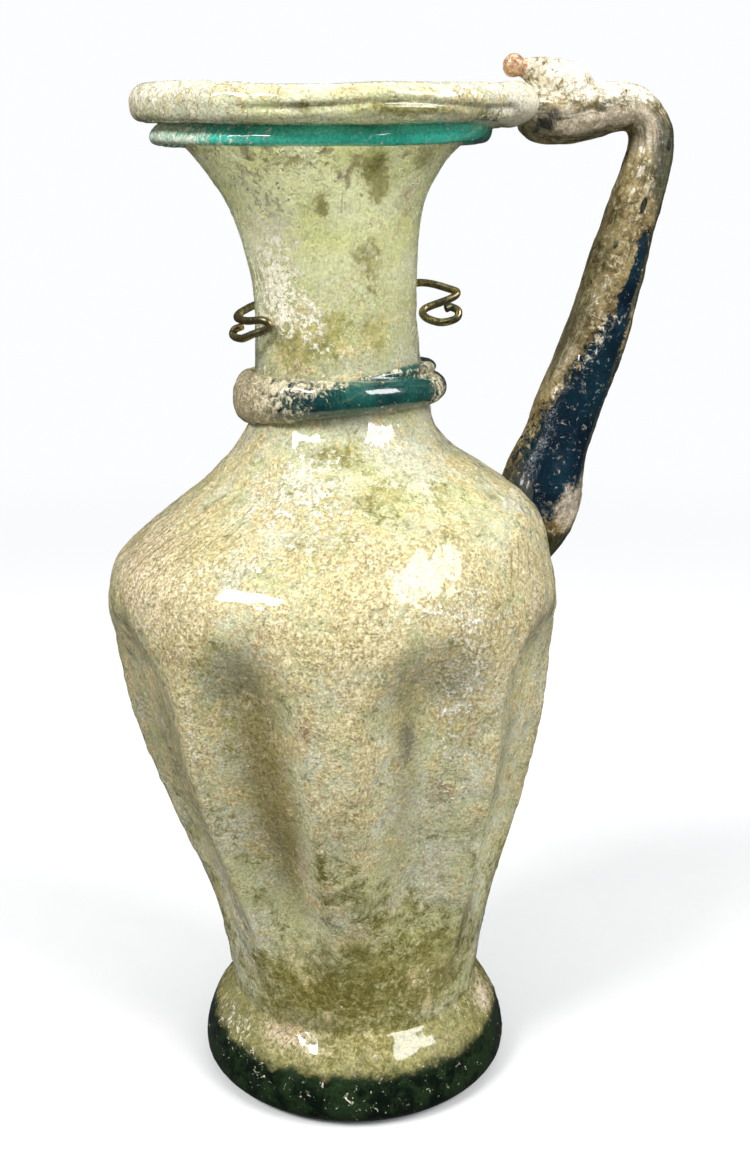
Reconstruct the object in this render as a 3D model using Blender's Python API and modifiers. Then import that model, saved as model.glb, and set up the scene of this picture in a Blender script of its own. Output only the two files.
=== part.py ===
"""A late Roman glass jug: a blown vessel with pressed flutes, two applied glass trails,
an applied handle with a thumb rest, and a bronze wire bent round the back of the neck.

Metres, +Z up. The origin is the middle of the foot's flat underside and +X points to the
handle. The vessel is turned from an outline and then pressed, leaned and tipped a little
by settle(), as free-blown glass is. Everything laid on it is placed through the same
functions, so it follows when a size of the vessel changes.
"""

from functools import lru_cache
from math import atan2, cos, degrees, hypot, pi, radians, sin

import bmesh
import bpy
from mathutils import Matrix, Vector

# Foot
FOOT_BASE_RADIUS = 0.0212
FOOT_RADIUS = 0.0240
FOOT_EDGE_HEIGHT = 0.0024
CREASE_HEIGHT = 0.0128
CREASE_RADIUS = 0.0193
FLOOR_THICKNESS = 0.0052

# Body
SHOULDER_HEIGHT = 0.0723
SHOULDER_RADIUS = 0.0330
FLUTE_DEPTH = 0.0042
FLUTE_TOP = 0.0785
FLUTE_BOTTOM = 0.0155
FLUTE_ARCH = 0.0060
FRONT_AZIMUTH = radians(-100)

# Neck and rim
NECK_ROOT_HEIGHT = 0.0993
NECK_ROOT_RADIUS = 0.0145
NECK_HEIGHT = 0.1178
NECK_RADIUS = 0.0115
MOUTH_HEIGHT = 0.1443
RIM_RADIUS = 0.0275
ROLL_RADIUS = 0.0023
WALL = 0.0019

# Trails of glass laid on the vessel
RIM_TRAIL_WIDTH = 0.0023
RIM_TRAIL_STAND = 0.0022
NECK_TRAIL_DROP = 0.0128
NECK_TRAIL_WIDTH = 0.0043
NECK_TRAIL_STAND = 0.0026
TAIL_WIDTH = 0.0020
TAIL_STAND = 0.0018

# Handle: its elbow's reach out from the line between pad and rim, and the arm's thickness
HANDLE_REACH = 0.0185
HANDLE_THICKNESS = 0.0086
PAD_HEIGHT = 0.0882
KNOB_RADIUS = 0.00145

# Wire
WIRE_RADIUS = 0.00055
WIRE_TURN = radians(-10)

# Clearance between touching pieces, and how finely round things are divided
GAP = 0.0003
AROUND = 48
MM = 0.001


def blend(value, start, end):
    """0 before start, 1 after end, and a smooth rise between them."""
    share = min(max((value - start) / (end - start), 0.0), 1.0)
    return share * share * (3 - 2 * share)


def curve_through(points, steps):
    """Points of a Catmull-Rom curve through the given ones, so many steps to a stretch."""
    points = [Vector(p) for p in points]
    ends = [2 * points[0] - points[1], *points, 2 * points[-1] - points[-2]]
    out = []
    for i in range(1, len(ends) - 2):
        a, b, c, d = ends[i - 1:i + 3]
        for k in range(steps):
            t = k / steps
            bend = (2 * a - 5 * b + 4 * c - d) * t * t + (3 * b - a - 3 * c + d) * t ** 3
            out.append(0.5 * (2 * b + (c - a) * t + bend))
    return out + [points[-1]]


def read(table, height):
    """A value read from a table of (height, value) pairs, smooth between them."""
    if height <= table[0][0]:
        return table[0][1]
    for (low, before), (high, after) in zip(table, table[1:]):
        if height < high:
            return before + (after - before) * blend(height, low, high)
    return table[-1][1]


# The outline of the vessel

BODY_SHARES = ((0.10, 0.06), (0.27, 0.25), (0.48, 0.56), (0.74, 0.87), (1.0, 1.0))
SLOPE_SHARES = ((0.26, 0.02), (0.45, 0.14), (0.63, 0.36), (0.81, 0.69), (1.0, 1.0))
NECK_SHARES = ((0.33, 0.66), (1.0, 1.0))
FUNNEL_SHARES = ((0.45, 0.10), (0.68, 0.30), (0.85, 0.55), (0.95, 0.73))


def band(low, high, shares):
    """Points between two (radius, height) points, by shares of the rise and of the swell."""
    rise = high[1] - low[1]
    swell = high[0] - low[0]
    return [(low[0] + out * swell, low[1] + up * rise) for up, out in shares]


def body_outline():
    """(radius, height) points of the outer wall, from the crease above the foot to the rim."""
    crease = (CREASE_RADIUS, CREASE_HEIGHT)
    shoulder = (SHOULDER_RADIUS, SHOULDER_HEIGHT)
    root = (NECK_ROOT_RADIUS, NECK_ROOT_HEIGHT)
    neck = (NECK_RADIUS, NECK_HEIGHT)
    mouth = (RIM_RADIUS, MOUTH_HEIGHT)
    return [
        crease,
        *band(crease, shoulder, BODY_SHARES),
        *band(shoulder, root, SLOPE_SHARES),
        *band(root, neck, NECK_SHARES),
        *band(neck, mouth, FUNNEL_SHARES),
    ]


@lru_cache
def wall_line(steps=2):
    """The outer wall's smooth line above the foot, as 2D points going up."""
    return curve_through(body_outline(), steps)


def wall_spot(height):
    """(radius, outward normal) of the outer wall at a height, before the flutes are pressed."""
    line = wall_line()
    for low, high in zip(line, line[1:]):
        if height < high.y:
            break
    share = min(max((height - low.y) / (high.y - low.y), 0.0), 1.0)
    along = (high - low).normalized()
    return low.x + (high.x - low.x) * share, Vector((along.y, -along.x))


def moved_in(line, distance):
    """A line of the outer wall moved square to itself, inwards by a distance."""
    out = []
    for i, point in enumerate(line):
        along = (line[min(i + 1, len(line) - 1)] - line[max(i - 1, 0)]).normalized()
        out.append(point + Vector((-along.y, along.x)) * distance)
    return out


def roll_arc(grow=0.0):
    """The folded rim's round edge, from its inner side over the top to its underside."""
    middle = Vector((RIM_RADIUS - ROLL_RADIUS, MOUTH_HEIGHT))
    arc = []
    for step in range(8):
        turn = radians(160 - 40 * step)
        arc.append(middle + Vector((cos(turn), sin(turn))) * (ROLL_RADIUS + grow))
    return arc


def foot_outline(grow=0.0):
    """The foot's outer side, from just under the crease down to the standing edge."""
    crease = (CREASE_RADIUS, CREASE_HEIGHT)
    edge = (FOOT_RADIUS, FOOT_EDGE_HEIGHT)
    base = (FOOT_BASE_RADIUS, 0.0)
    points = band(crease, edge, ((0.12, 0.20), (0.38, 0.62), (0.70, 0.91), (1.0, 1.0)))
    points += band(edge, base, ((0.60, 0.30), (0.93, 0.70), (1.0, 1.0)))
    return [Vector((radius + grow, height)) for radius, height in points]


def vessel_outline():
    """Floor, inner wall, over the rim, outer wall, foot and underside, as 2D points."""
    inner = moved_in(wall_line(1), WALL)[:-1]
    inside_foot = CREASE_RADIUS - WALL
    floor = [
        Vector((0.0, FLOOR_THICKNESS + 0.0008)),
        Vector((0.66 * inside_foot, FLOOR_THICKNESS)),
        Vector((inside_foot, FLOOR_THICKNESS + 0.0024)),
    ]
    outer = list(reversed(wall_line()))
    return floor + inner + roll_arc() + outer + foot_outline() + [Vector((0.0, 0.0))]


# The shape that blowing and tooling gave the vessel

# Each rib's turn from the front in degrees, and how broad its back is as a share of a flute
RIBS = (
    (0, 0.14), (46, 0.0), (90, 0.03), (134, 0.02),
    (181, 0.04), (226, 0.02), (270, 0.03), (322, 0.0),
)


def lean(height):
    """How far the wall's centre has drifted towards the handle at a height."""
    return read((
        (CREASE_HEIGHT, -0.0004),
        (SHOULDER_HEIGHT, -0.0034),
        (SHOULDER_HEIGHT + 0.008, -0.0033),
        (NECK_ROOT_HEIGHT - 0.008, 0.0),
        (NECK_ROOT_HEIGHT + 0.001, -0.0020),
        (NECK_HEIGHT, -0.0028),
        (MOUTH_HEIGHT - 0.005, -0.0046),
        (MOUTH_HEIGHT, -0.0028),
    ), height)


def rim_wave(azimuth):
    """How far the rim stands above or below its mean height: it dips at the front."""
    turn = azimuth - FRONT_AZIMUTH
    return -0.0015 * cos(turn) - 0.00055 * cos(2 * turn)


def flute_press(azimuth, height):
    """How deep the wall is pressed in between the ribs."""
    turn = degrees((azimuth - FRONT_AZIMUTH) % (2 * pi))
    ribs = (*RIBS, (360, RIBS[0][1]))
    for (before, near), (after, far) in zip(ribs, ribs[1:]):
        if turn < after:
            break
    share = (turn - before) / (after - before)
    share = min(max((share - near) / (1 - near - far), 0.0), 1.0)
    scoop = sin(pi * share)
    top = FLUTE_TOP - FLUTE_ARCH * (1 - scoop)
    rise = blend(height, FLUTE_BOTTOM, FLUTE_BOTTOM + 0.4 * (FLUTE_TOP - FLUTE_BOTTOM))
    fall = 1 - blend(height, top - 2 * FLUTE_ARCH, top)
    return FLUTE_DEPTH * scoop * rise * fall


def settle(point):
    """Moves a point of the plain turned shape to where the pressed, leaning glass has it."""
    azimuth = atan2(point.y, point.x)
    radius = hypot(point.x, point.y)
    near_wall = blend(radius, 0.3 * CREASE_RADIUS, 0.8 * CREASE_RADIUS)
    radius -= flute_press(azimuth, point.z) * near_wall
    at_rim = blend(point.z, NECK_HEIGHT + 0.011, MOUTH_HEIGHT - 0.003)
    height = point.z + rim_wave(azimuth) * at_rim
    return Vector((
        radius * cos(azimuth) + lean(point.z),
        radius * sin(azimuth),
        height,
    ))


def on_wall(azimuth, height, stand):
    """The point that stands so far out of the vessel's wall, square to it."""
    radius, out = wall_spot(height)
    radius += out.x * stand
    return settle(Vector((radius * cos(azimuth), radius * sin(azimuth), height + out.y * stand)))


# Blender helpers

def empty_scene():
    """Removes whatever the scene holds."""
    for item in list(bpy.data.objects):
        bpy.data.objects.remove(item, do_unlink=True)


def new_collection(name):
    """A collection linked to the scene."""
    collection = bpy.data.collections.new(name)
    bpy.context.scene.collection.children.link(collection)
    return collection


def material(name, colour, roughness, metallic=0.0):
    """A plain Principled BSDF with this colour and gloss."""
    made = bpy.data.materials.new(name)
    made.use_nodes = True
    made.diffuse_color = (*colour, 1.0)
    shader = made.node_tree.nodes["Principled BSDF"]
    shader.inputs["Base Color"].default_value = (*colour, 1.0)
    shader.inputs["Roughness"].default_value = roughness
    shader.inputs["Metallic"].default_value = metallic
    return made


def add_object(name, mesh, collection):
    """An object with this mesh, in this collection."""
    made = bpy.data.objects.new(name, mesh)
    collection.objects.link(made)
    return made


def finish(piece, finish_material, sharp_angle=50):
    """Gives a piece its material and smooth shading with sharp edges kept."""
    piece.data.materials.clear()
    piece.data.materials.append(finish_material)
    piece.data.shade_smooth()
    piece.data.set_sharp_from_angle(angle=radians(sharp_angle))


def made_plain(source, name, collection):
    """Turns an object and its modifiers into a plain mesh object and removes the source."""
    bpy.context.view_layer.update()
    evaluated = source.evaluated_get(bpy.context.evaluated_depsgraph_get())
    mesh = bpy.data.meshes.new_from_object(evaluated)
    mesh.transform(source.matrix_world)
    bpy.data.objects.remove(source, do_unlink=True)
    edit = bmesh.new()
    edit.from_mesh(mesh)
    bmesh.ops.remove_doubles(edit, verts=edit.verts, dist=0.02 * MM)
    edit.to_mesh(mesh)
    edit.free()
    return add_object(name, mesh, collection)


def turned(name, outline, collection):
    """A solid turned round +Z from (radius, height) points, then settled like the glass."""
    mesh = bpy.data.meshes.new(name)
    verts = [(p.x, 0.0, p.y) for p in outline]
    mesh.from_pydata(verts, [(i, i + 1) for i in range(len(verts) - 1)], [])
    profile = add_object(name, mesh, collection)
    profile.rotation_euler.z = FRONT_AZIMUTH
    screw = profile.modifiers.new("Turn", "SCREW")
    screw.angle = 2 * pi
    screw.steps = AROUND
    screw.render_steps = AROUND
    screw.use_merge_vertices = True
    screw.merge_threshold = 0.02 * MM
    piece = made_plain(profile, name, collection)
    for vertex in piece.data.vertices:
        vertex.co = settle(vertex.co)
    return piece


def lofted(name, rings, collection, closed=False):
    """A solid through rings of points, capped at both ends or joined into a loop."""
    mesh = bpy.data.meshes.new(name)
    edit = bmesh.new()
    loops = [[edit.verts.new(p) for p in ring] for ring in rings]
    following = loops[1:] + loops[:1] if closed else loops[1:]
    for lower, upper in zip(loops, following):
        count = len(lower)
        for i in range(count):
            edit.faces.new((lower[i], lower[(i + 1) % count], upper[(i + 1) % count], upper[i]))
    if not closed:
        edit.faces.new(list(reversed(loops[0])))
        edit.faces.new(loops[-1])
    bmesh.ops.recalc_face_normals(edit, faces=edit.faces)
    edit.to_mesh(mesh)
    edit.free()
    return add_object(name, mesh, collection)


def boolean(piece, other, operation):
    """Adds a Boolean with another object, which is then kept as a hidden guide."""
    cut = piece.modifiers.new(operation.title(), "BOOLEAN")
    cut.operation = operation
    cut.object = other
    other.hide_render = True
    other.display_type = "WIRE"


# The pieces

def make_vessel(collection, glass):
    """The blown body, neck, folded rim and foot."""
    vessel = turned("vessel", vessel_outline(), collection)
    finish(vessel, glass)
    return vessel


def vessel_cutter(collection):
    """The vessel's outer form grown by the gap and filled, to seat the handle on it."""
    outer = list(reversed(moved_in(wall_line(), -GAP)))
    lip = [Vector((0.0, MOUTH_HEIGHT)), Vector((RIM_RADIUS - 2 * ROLL_RADIUS - GAP, MOUTH_HEIGHT))]
    outline = lip + roll_arc(GAP)[1:] + outer + foot_outline(GAP)
    return turned("vessel_form", outline + [Vector((0.0, 0.0))], collection)


def trail_ring(azimuth, height, half_width, stand, lift=GAP, sides=5, back=()):
    """One section of a thread laid on the wall: round outside, and following it behind."""
    ring = []
    for step in range(sides + 1):
        turn = pi * step / sides
        out = lift + stand * sin(turn) ** 0.8
        ring.append(on_wall(azimuth, height - half_width * cos(turn), out))
    for share in back:
        ring.append(on_wall(azimuth, height + half_width * share, lift))
    return ring


def make_rim_trail(collection, glass, name="rim_trail", grow=0.0):
    """The turquoise thread wound into the corner under the rolled rim."""
    height = MOUTH_HEIGHT - 0.40 * ROLL_RADIUS - 0.72 * RIM_TRAIL_WIDTH
    rings = []
    for step in range(AROUND):
        azimuth = FRONT_AZIMUTH + 2 * pi * step / AROUND
        left = 0.5 - 0.5 * sin(azimuth - FRONT_AZIMUTH)
        swell = 1 + 0.06 * sin(3 * azimuth) + 0.05 * sin(5 * azimuth + 1) + 0.12 * left
        half_width = 0.36 * RIM_TRAIL_WIDTH * (1 + 0.15 * left) + grow
        stand = RIM_TRAIL_STAND * swell + 2 * grow
        sag = 0.0004 * sin(azimuth - FRONT_AZIMUTH) ** 2
        ring = trail_ring(azimuth, height - sag, half_width, stand, GAP - grow, sides=4)
        rings.append(ring)
    trail = lofted(name, rings, collection, closed=True)
    finish(trail, glass)
    return trail


def neck_trail_size(azimuth):
    """(middle height, half width, stand) of the neck's thread: it is thick at the left."""
    left = 0.5 - 0.5 * sin(azimuth - FRONT_AZIMUTH)
    half_width = 0.5 * NECK_TRAIL_WIDTH * (1 + 0.68 * left ** 2)
    middle = NECK_HEIGHT - NECK_TRAIL_DROP + 0.0013 * (1 - left)
    return middle, half_width, NECK_TRAIL_STAND * (1.08 - 0.12 * left)


def make_neck_trail(collection, glass):
    """The dark thread at the neck's root, its end run on over its start as a thin tail."""
    rings = []
    for step in range(AROUND):
        azimuth = 2 * pi * step / AROUND
        rings.append(trail_ring(azimuth, *neck_trail_size(azimuth), back=(0.4, -0.4)))
    ring = lofted("neck_trail", rings, collection, closed=True)

    start = FRONT_AZIMUTH + radians(14)
    end = FRONT_AZIMUTH + radians(168)
    last = 15
    rings = []
    for step in range(last + 1):
        share = step / last
        azimuth = start + (end - start) * share
        middle, half_width, stand = neck_trail_size(azimuth)
        thick = min(1.0, 0.25 + 2.5 * share, 0.35 + 4 * (1 - share))
        above = half_width + 0.5 * TAIL_WIDTH * (0.2 + 0.5 * min(1.0, 5 * share))
        above -= 0.5 * NECK_TRAIL_WIDTH * blend(share, 0.62, 1.0)
        half = 0.5 * TAIL_WIDTH * thick
        rings.append(trail_ring(azimuth, middle + above, half, TAIL_STAND * thick, sides=4))
    tail = lofted("neck_trail_tail", rings, collection)

    boolean(ring, tail, "UNION")
    made = made_plain(ring, "neck_trail", collection)
    bpy.data.objects.remove(tail, do_unlink=True)
    finish(made, glass)
    return made


# The handle's centre line from pad to rim: out as a share of the reach, up as a share of the
# rise from pad to rim, then half its thickness and half its width as shares of the thickness
HANDLE_LINE = (
    (-0.03, -0.165, 0.29, 0.28), (0.00, -0.086, 0.55, 0.60), (0.07, 0.000, 0.68, 0.72),
    (0.13, 0.086, 0.66, 0.70), (0.22, 0.169, 0.56, 0.62), (0.33, 0.268, 0.55, 0.57),
    (0.515, 0.412, 0.51, 0.55), (0.706, 0.606, 0.47, 0.52), (0.861, 0.770, 0.40, 0.51),
    (0.961, 0.873, 0.37, 0.49), (0.992, 0.940, 0.34, 0.45), (0.945, 0.990, 0.33, 0.44),
    (0.818, 1.016, 0.36, 0.45), (0.651, 1.016, 0.40, 0.48), (0.454, 1.001, 0.43, 0.50),
    (0.253, 0.991, 0.44, 0.51), (0.096, 0.994, 0.41, 0.47), (-0.011, 1.002, 0.29, 0.35),
)

# The fold of glass that stands on the arm beside the rim, drawn out thin towards the knob
FOLD_LINE = (
    (0.310, 1.008, 0.46, 0.37), (0.295, 1.036, 0.45, 0.42), (0.225, 1.064, 0.36, 0.37),
    (0.065, 1.098, 0.17, 0.17), (-0.070, 1.107, 0.07, 0.09),
)
KNOB_PLACE = (-0.10, 1.110)


def handle_point(out, up):
    """A point of the handle's plane, between the pad on the shoulder and the rim's edge."""
    pad_radius, _ = wall_spot(PAD_HEIGHT)
    foot = Vector((pad_radius + lean(PAD_HEIGHT), 0.0, PAD_HEIGHT))
    head = Vector((RIM_RADIUS + lean(MOUTH_HEIGHT), 0.0, MOUTH_HEIGHT))
    return foot.lerp(head, up) + Vector((out * HANDLE_REACH, 0.0, 0.0))


def oval(middle, out, across, sides):
    """A soft-cornered oval section spanned by two half widths."""
    ring = []
    for step in range(sides):
        turn = 2 * pi * step / sides
        square = 1 + 0.06 * sin(2 * turn) ** 2
        ring.append(middle + (out * cos(turn) + across * sin(turn)) * square)
    return ring


def strand(name, line, collection, sides):
    """A drawn strand of glass along a line of the handle's plane."""
    middles = curve_through([handle_point(out, up) for out, up, _, _ in line], 2)
    halves = curve_through([(thick, wide) for _, _, thick, wide in line], 2)
    rings = []
    for i, (middle, half) in enumerate(zip(middles, halves)):
        along = middles[min(i + 1, len(middles) - 1)] - middles[max(i - 1, 0)]
        out = Vector((along.z, 0.0, -along.x)).normalized() * half.x * HANDLE_THICKNESS
        across = Vector((0.0, half.y * HANDLE_THICKNESS, 0.0))
        rings.append(oval(middle, out, across, sides))
    return lofted(name, rings, collection)


def make_handle(collection, cutters, glass):
    """The applied handle: pad on the shoulder, elbow, thumb rest and the pinched-off knob."""
    arm = strand("handle", HANDLE_LINE, collection, sides=12)
    fold = strand("handle_fold", FOLD_LINE, collection, sides=10)
    knob_mesh = bpy.data.meshes.new("handle_knob")
    edit = bmesh.new()
    bmesh.ops.create_uvsphere(edit, u_segments=10, v_segments=7, radius=KNOB_RADIUS)
    edit.to_mesh(knob_mesh)
    edit.free()
    knob = add_object("handle_knob", knob_mesh, collection)
    knob.location = handle_point(*KNOB_PLACE)

    vessel_form = vessel_cutter(cutters)
    trail_form = make_rim_trail(cutters, glass, "rim_trail_form", GAP)
    boolean(arm, fold, "UNION")
    boolean(arm, knob, "UNION")
    boolean(arm, vessel_form, "DIFFERENCE")
    boolean(arm, trail_form, "DIFFERENCE")
    handle = made_plain(arm, "handle", collection)
    for spare in (fold, knob):
        bpy.data.objects.remove(spare, do_unlink=True)
    finish(handle, glass)
    return handle


# The wire's curled ends: degrees round the neck, millimetres out from where the wire hugs
# it, and millimetres above the neck's waist
LEFT_CURL = (
    (203, 1.6, -2.7), (199, 2.4, -3.2), (199, 2.6, -4.0), (207, 2.0, -4.3),
    (216, 1.3, -3.6), (224, 0.6, -3.0), (227, 0.4, -2.3), (223, 0.8, -1.7),
    (208, 1.4, -1.9), (193, 1.7, -1.6), (182, 0.9, -0.9),
)
RIGHT_CURL = (
    (21, 1.3, 3.0), (15, 4.8, 2.1), (12, 5.6, 1.6), (10, 4.5, 0.8),
    (9.5, 0.7, -0.6), (4, 0.5, -1.7), (-2, 2.6, -2.4), (-2.5, 4.8, -1.9),
    (-0.5, 5.2, -0.9), (1, 4.2, -0.3), (0, 3.4, -0.5),
)


def wire_route():
    """Points of the wire: a curl at the left, round the neck's back, a curl at the right."""
    back = 6
    hugging = []
    for step in range(1, back):
        share = step / back
        hugging.append((180 - 159 * share, 0.3, -0.6 + 3.6 * share))
    hug = NECK_RADIUS + WIRE_RADIUS + GAP
    middle = Vector((lean(NECK_HEIGHT), 0.0, NECK_HEIGHT))
    turn = Matrix.Rotation(WIRE_TURN, 3, "Z")
    points = []
    for azimuth, out, up in (*LEFT_CURL, *hugging, *RIGHT_CURL):
        side = Vector((cos(radians(azimuth)), sin(radians(azimuth)), 0.0))
        place = side * (hug + out * MM) + Vector((0.0, 0.0, up * MM))
        points.append(middle + turn @ place)
    return curve_through(points, 2)


def make_neck_wire(collection, bronze):
    """The bronze wire bent round the back of the neck, both ends curled."""
    curve = bpy.data.curves.new("neck_wire", "CURVE")
    curve.dimensions = "3D"
    curve.bevel_depth = WIRE_RADIUS
    curve.bevel_resolution = 2
    curve.use_fill_caps = True
    spline = curve.splines.new("POLY")
    route = wire_route()
    spline.points.add(len(route) - 1)
    for point, place in zip(spline.points, route):
        point.co = (*place, 1.0)
    wire = made_plain(add_object("neck_wire", curve, collection), "neck_wire", collection)
    finish(wire, bronze)
    return wire


def main():
    """Builds the jug's pieces in their collections."""
    empty_scene()
    jug = new_collection("glass_jug")
    cutters = new_collection("cutters")
    pale = material("pale_glass", (0.62, 0.64, 0.42), 0.35)
    turquoise = material("turquoise_glass", (0.03, 0.27, 0.24), 0.15)
    dark = material("dark_teal_glass", (0.03, 0.13, 0.15), 0.2)
    navy = material("navy_glass", (0.30, 0.26, 0.18), 0.4)
    bronze = material("bronze", (0.30, 0.22, 0.11), 0.35, 1.0)
    make_vessel(jug, pale)
    make_rim_trail(jug, turquoise)
    make_neck_trail(jug, dark)
    make_handle(jug, cutters, navy)
    make_neck_wire(jug, bronze)


main()
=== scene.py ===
"""The looks of a late Roman glass jug: fine surfaces and finishes over its solids.

Every piece repeats the form of its solid, in metres and in the same frame: the origin is the
middle of the foot's underside, +X points to the handle and the front is at FRONT degrees.
The vessel's form comes from one class, and the trails, the handle's seat and the wire take
their places from it. Stains and crusts, and the painted shade and light laid in places, are
soft patches placed by their turn from the front and their height, kept on the meshes as masks
that the finishes read.
"""

import logging
from dataclasses import dataclass
from enum import Enum
from functools import cached_property
from math import cos, pi, radians, sin
from typing import ClassVar

import bmesh
import bpy
import numpy as np
from mathutils import Euler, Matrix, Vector, noise


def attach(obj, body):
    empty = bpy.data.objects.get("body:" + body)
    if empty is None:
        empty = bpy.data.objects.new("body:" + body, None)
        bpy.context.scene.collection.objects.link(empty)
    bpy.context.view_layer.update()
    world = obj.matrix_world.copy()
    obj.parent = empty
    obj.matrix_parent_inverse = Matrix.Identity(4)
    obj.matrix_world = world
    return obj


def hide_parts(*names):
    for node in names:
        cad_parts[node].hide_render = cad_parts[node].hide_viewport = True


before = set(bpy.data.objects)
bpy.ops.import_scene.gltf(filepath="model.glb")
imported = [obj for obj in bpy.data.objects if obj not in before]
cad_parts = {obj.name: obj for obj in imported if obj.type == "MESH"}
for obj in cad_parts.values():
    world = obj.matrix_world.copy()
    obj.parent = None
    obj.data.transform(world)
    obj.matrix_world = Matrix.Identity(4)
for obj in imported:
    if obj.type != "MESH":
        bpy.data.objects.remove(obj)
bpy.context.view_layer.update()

LOG = logging.getLogger("glass_jug")
Colour = tuple[float, float, float]
Table = tuple[tuple[float, float], ...]
Range = tuple[float, float]
Span = tuple[float, float, float, float]

MM = 0.001
# The front's direction, in degrees round +Z
FRONT = -100.0
# The clearance between pieces that lie on each other
GAP = 0.0003
# The attribute that holds the drawn glass's coordinates
FLOW = "flow"


class Slot(Enum):
    """The record's material slots, one for each kind of glass or metal."""

    PALE = "pale_glass"
    TURQUOISE = "turquoise_glass"
    DARK = "dark_teal_glass"
    HANDLE = "handle_glass"
    BRONZE = "bronze"


class Mask(Enum):
    """The masks that a mesh carries for its finish, each from 0 to about 1."""

    CRUST = "crust"
    FROST = "frost"
    OLIVE = "olive"
    RUST = "rust"
    # Grey spots, and painted shade in the vessel's flutes and under the handle's fold.
    SMOKE = "smoke"
    # Darker olive where the glass is thick, and painted shade in the groove under the rim.
    DEEP_AND_SHADE = "deep"
    BLUSH = "blush"
    STRIAE = "striae"
    # The foot's near black band: thick glass, and the painted dark reflection of a black stand.
    BOTTLE_AND_REFLECTION = "bottle"
    BLUE = "blue"
    CLEAR = "clear"
    # Painted shade in the flutes, where they are pressed deepest.
    FLUTE_SHADE = "hollow"
    SHINE = "shine"


# Curves and tables

def blend(values: np.ndarray, start: float, end: float) -> np.ndarray:
    """A smooth rise from 0 to 1.

    Args:
        values: Where the rise is read.
        start: The value up to which it is 0.
        end: The value from which it is 1.

    Returns:
        The rise at each value.
    """
    share = np.clip((values - start) / (end - start), 0.0, 1.0)
    return share * share * (3 - 2 * share)


def swell(values: np.ndarray, span: Span) -> np.ndarray:
    """A smooth rise from 0 to 1, and a smooth fall after it.

    Args:
        values: Where it is read.
        span: Where the rise starts and ends, then where the fall starts and ends.

    Returns:
        The swell at each value.
    """
    start, full, fade, end = span
    return blend(values, start, full) * (1 - blend(values, fade, end))


def circle(count: int, start: float = 0.0) -> np.ndarray:
    """So many angles evenly round, in radians."""
    return start + 2 * pi * np.arange(count) / count


def read(table: Table, heights: np.ndarray) -> np.ndarray:
    """Reads a table of (height, value) pairs, smooth between them.

    Args:
        table: The pairs, lowest first.
        heights: Where it is read.

    Returns:
        The table's value at each height.
    """
    places = np.array([place for place, _ in table])
    values = np.array([value for _, value in table])
    spot = np.clip(np.searchsorted(places, heights, side="right") - 1, 0, len(places) - 2)
    share = blend(heights, places[spot], places[spot + 1])
    return values[spot] + (values[spot + 1] - values[spot]) * share


def curve_through(points: list, steps: int) -> np.ndarray:
    """A Catmull-Rom curve through the given points.

    Args:
        points: The points, of any dimension.
        steps: Stretches of the curve between two given points.

    Returns:
        The curve's points, one row each.
    """
    given = np.array(points, float)
    ends = np.vstack([2 * given[0] - given[1], given, 2 * given[-1] - given[-2]])
    out = []
    for i in range(1, len(ends) - 2):
        a, b, c, d = ends[i - 1:i + 3]
        for k in range(steps):
            t = k / steps
            bend = (2 * a - 5 * b + 4 * c - d) * t * t + (3 * b - a - 3 * c + d) * t ** 3
            out.append(0.5 * (2 * b + (c - a) * t + bend))
    return np.array(out + [given[-1]])


def directions(line: np.ndarray) -> np.ndarray:
    """The unit direction of a line at each of its points.

    Args:
        line: The points, one row each.

    Returns:
        The directions, one row each.
    """
    ends = np.vstack([line[:1], line, line[-1:]])
    along = ends[2:] - ends[:-2]
    return along / np.linalg.norm(along, axis=1, keepdims=True)


def outward(along: np.ndarray) -> np.ndarray:
    """Directions square to those of a line in the XZ plane, to its outer side."""
    return np.stack([along[:, 2], np.zeros(len(along)), -along[:, 0]], axis=-1)


def evened(line: np.ndarray, rows: int) -> np.ndarray:
    """A flat line's points set evenly along it.

    Args:
        line: The points, one row each.
        rows: How many points the result has.

    Returns:
        The even points, one row each.
    """
    along = lengths_along(line)
    even = np.linspace(0.0, along[-1], rows)
    return np.stack([np.interp(even, along, line[:, k]) for k in range(2)], axis=-1)


def lengths_along(line: np.ndarray) -> np.ndarray:
    """How far along the line each of its points is."""
    steps = np.linalg.norm(np.diff(line, axis=0), axis=1)
    return np.concatenate([[0.0], np.cumsum(steps)])


# Meshes

def new_object(name: str, data: bpy.types.ID) -> bpy.types.Object:
    """An object with this data, linked to the scene.

    Args:
        name: The object's name.
        data: Its mesh, curve, light or camera.

    Returns:
        The object.
    """
    made = bpy.data.objects.new(name, data)
    bpy.context.scene.collection.objects.link(made)
    return made


def lofted(name: str, rows: np.ndarray, looped: bool = False) -> bpy.types.Object:
    """A closed skin over rows of points that each run once round.

    Args:
        name: The new object's name.
        rows: Points as (rows, points in a row, 3).
        looped: Whether the last row joins the first. If not, each end gets a fan of faces.

    Returns:
        The object, its faces pointing out.
    """
    count, around, _ = rows.shape
    verts = rows.reshape(-1, 3).tolist()
    lower = np.arange(count if looped else count - 1)
    upper = (lower + 1) % count
    here = np.arange(around)
    after = (here + 1) % around
    corners = np.stack([
        lower[:, None] * around + here,
        lower[:, None] * around + after,
        upper[:, None] * around + after,
        upper[:, None] * around + here,
    ], axis=-1)
    faces = corners.reshape(-1, 4).tolist()
    if not looped:
        for row in (0, count - 1):
            middle = len(verts)
            verts.append(rows[row].mean(axis=0).tolist())
            faces += [[row * around + a, row * around + b, middle] for a, b in zip(here, after)]
    mesh = bpy.data.meshes.new(name)
    mesh.from_pydata(verts, [], faces)
    edit = bmesh.new()
    edit.from_mesh(mesh)
    bmesh.ops.recalc_face_normals(edit, faces=edit.faces)
    edit.to_mesh(mesh)
    edit.free()
    mesh.shade_smooth()
    return new_object(name, mesh)


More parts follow.
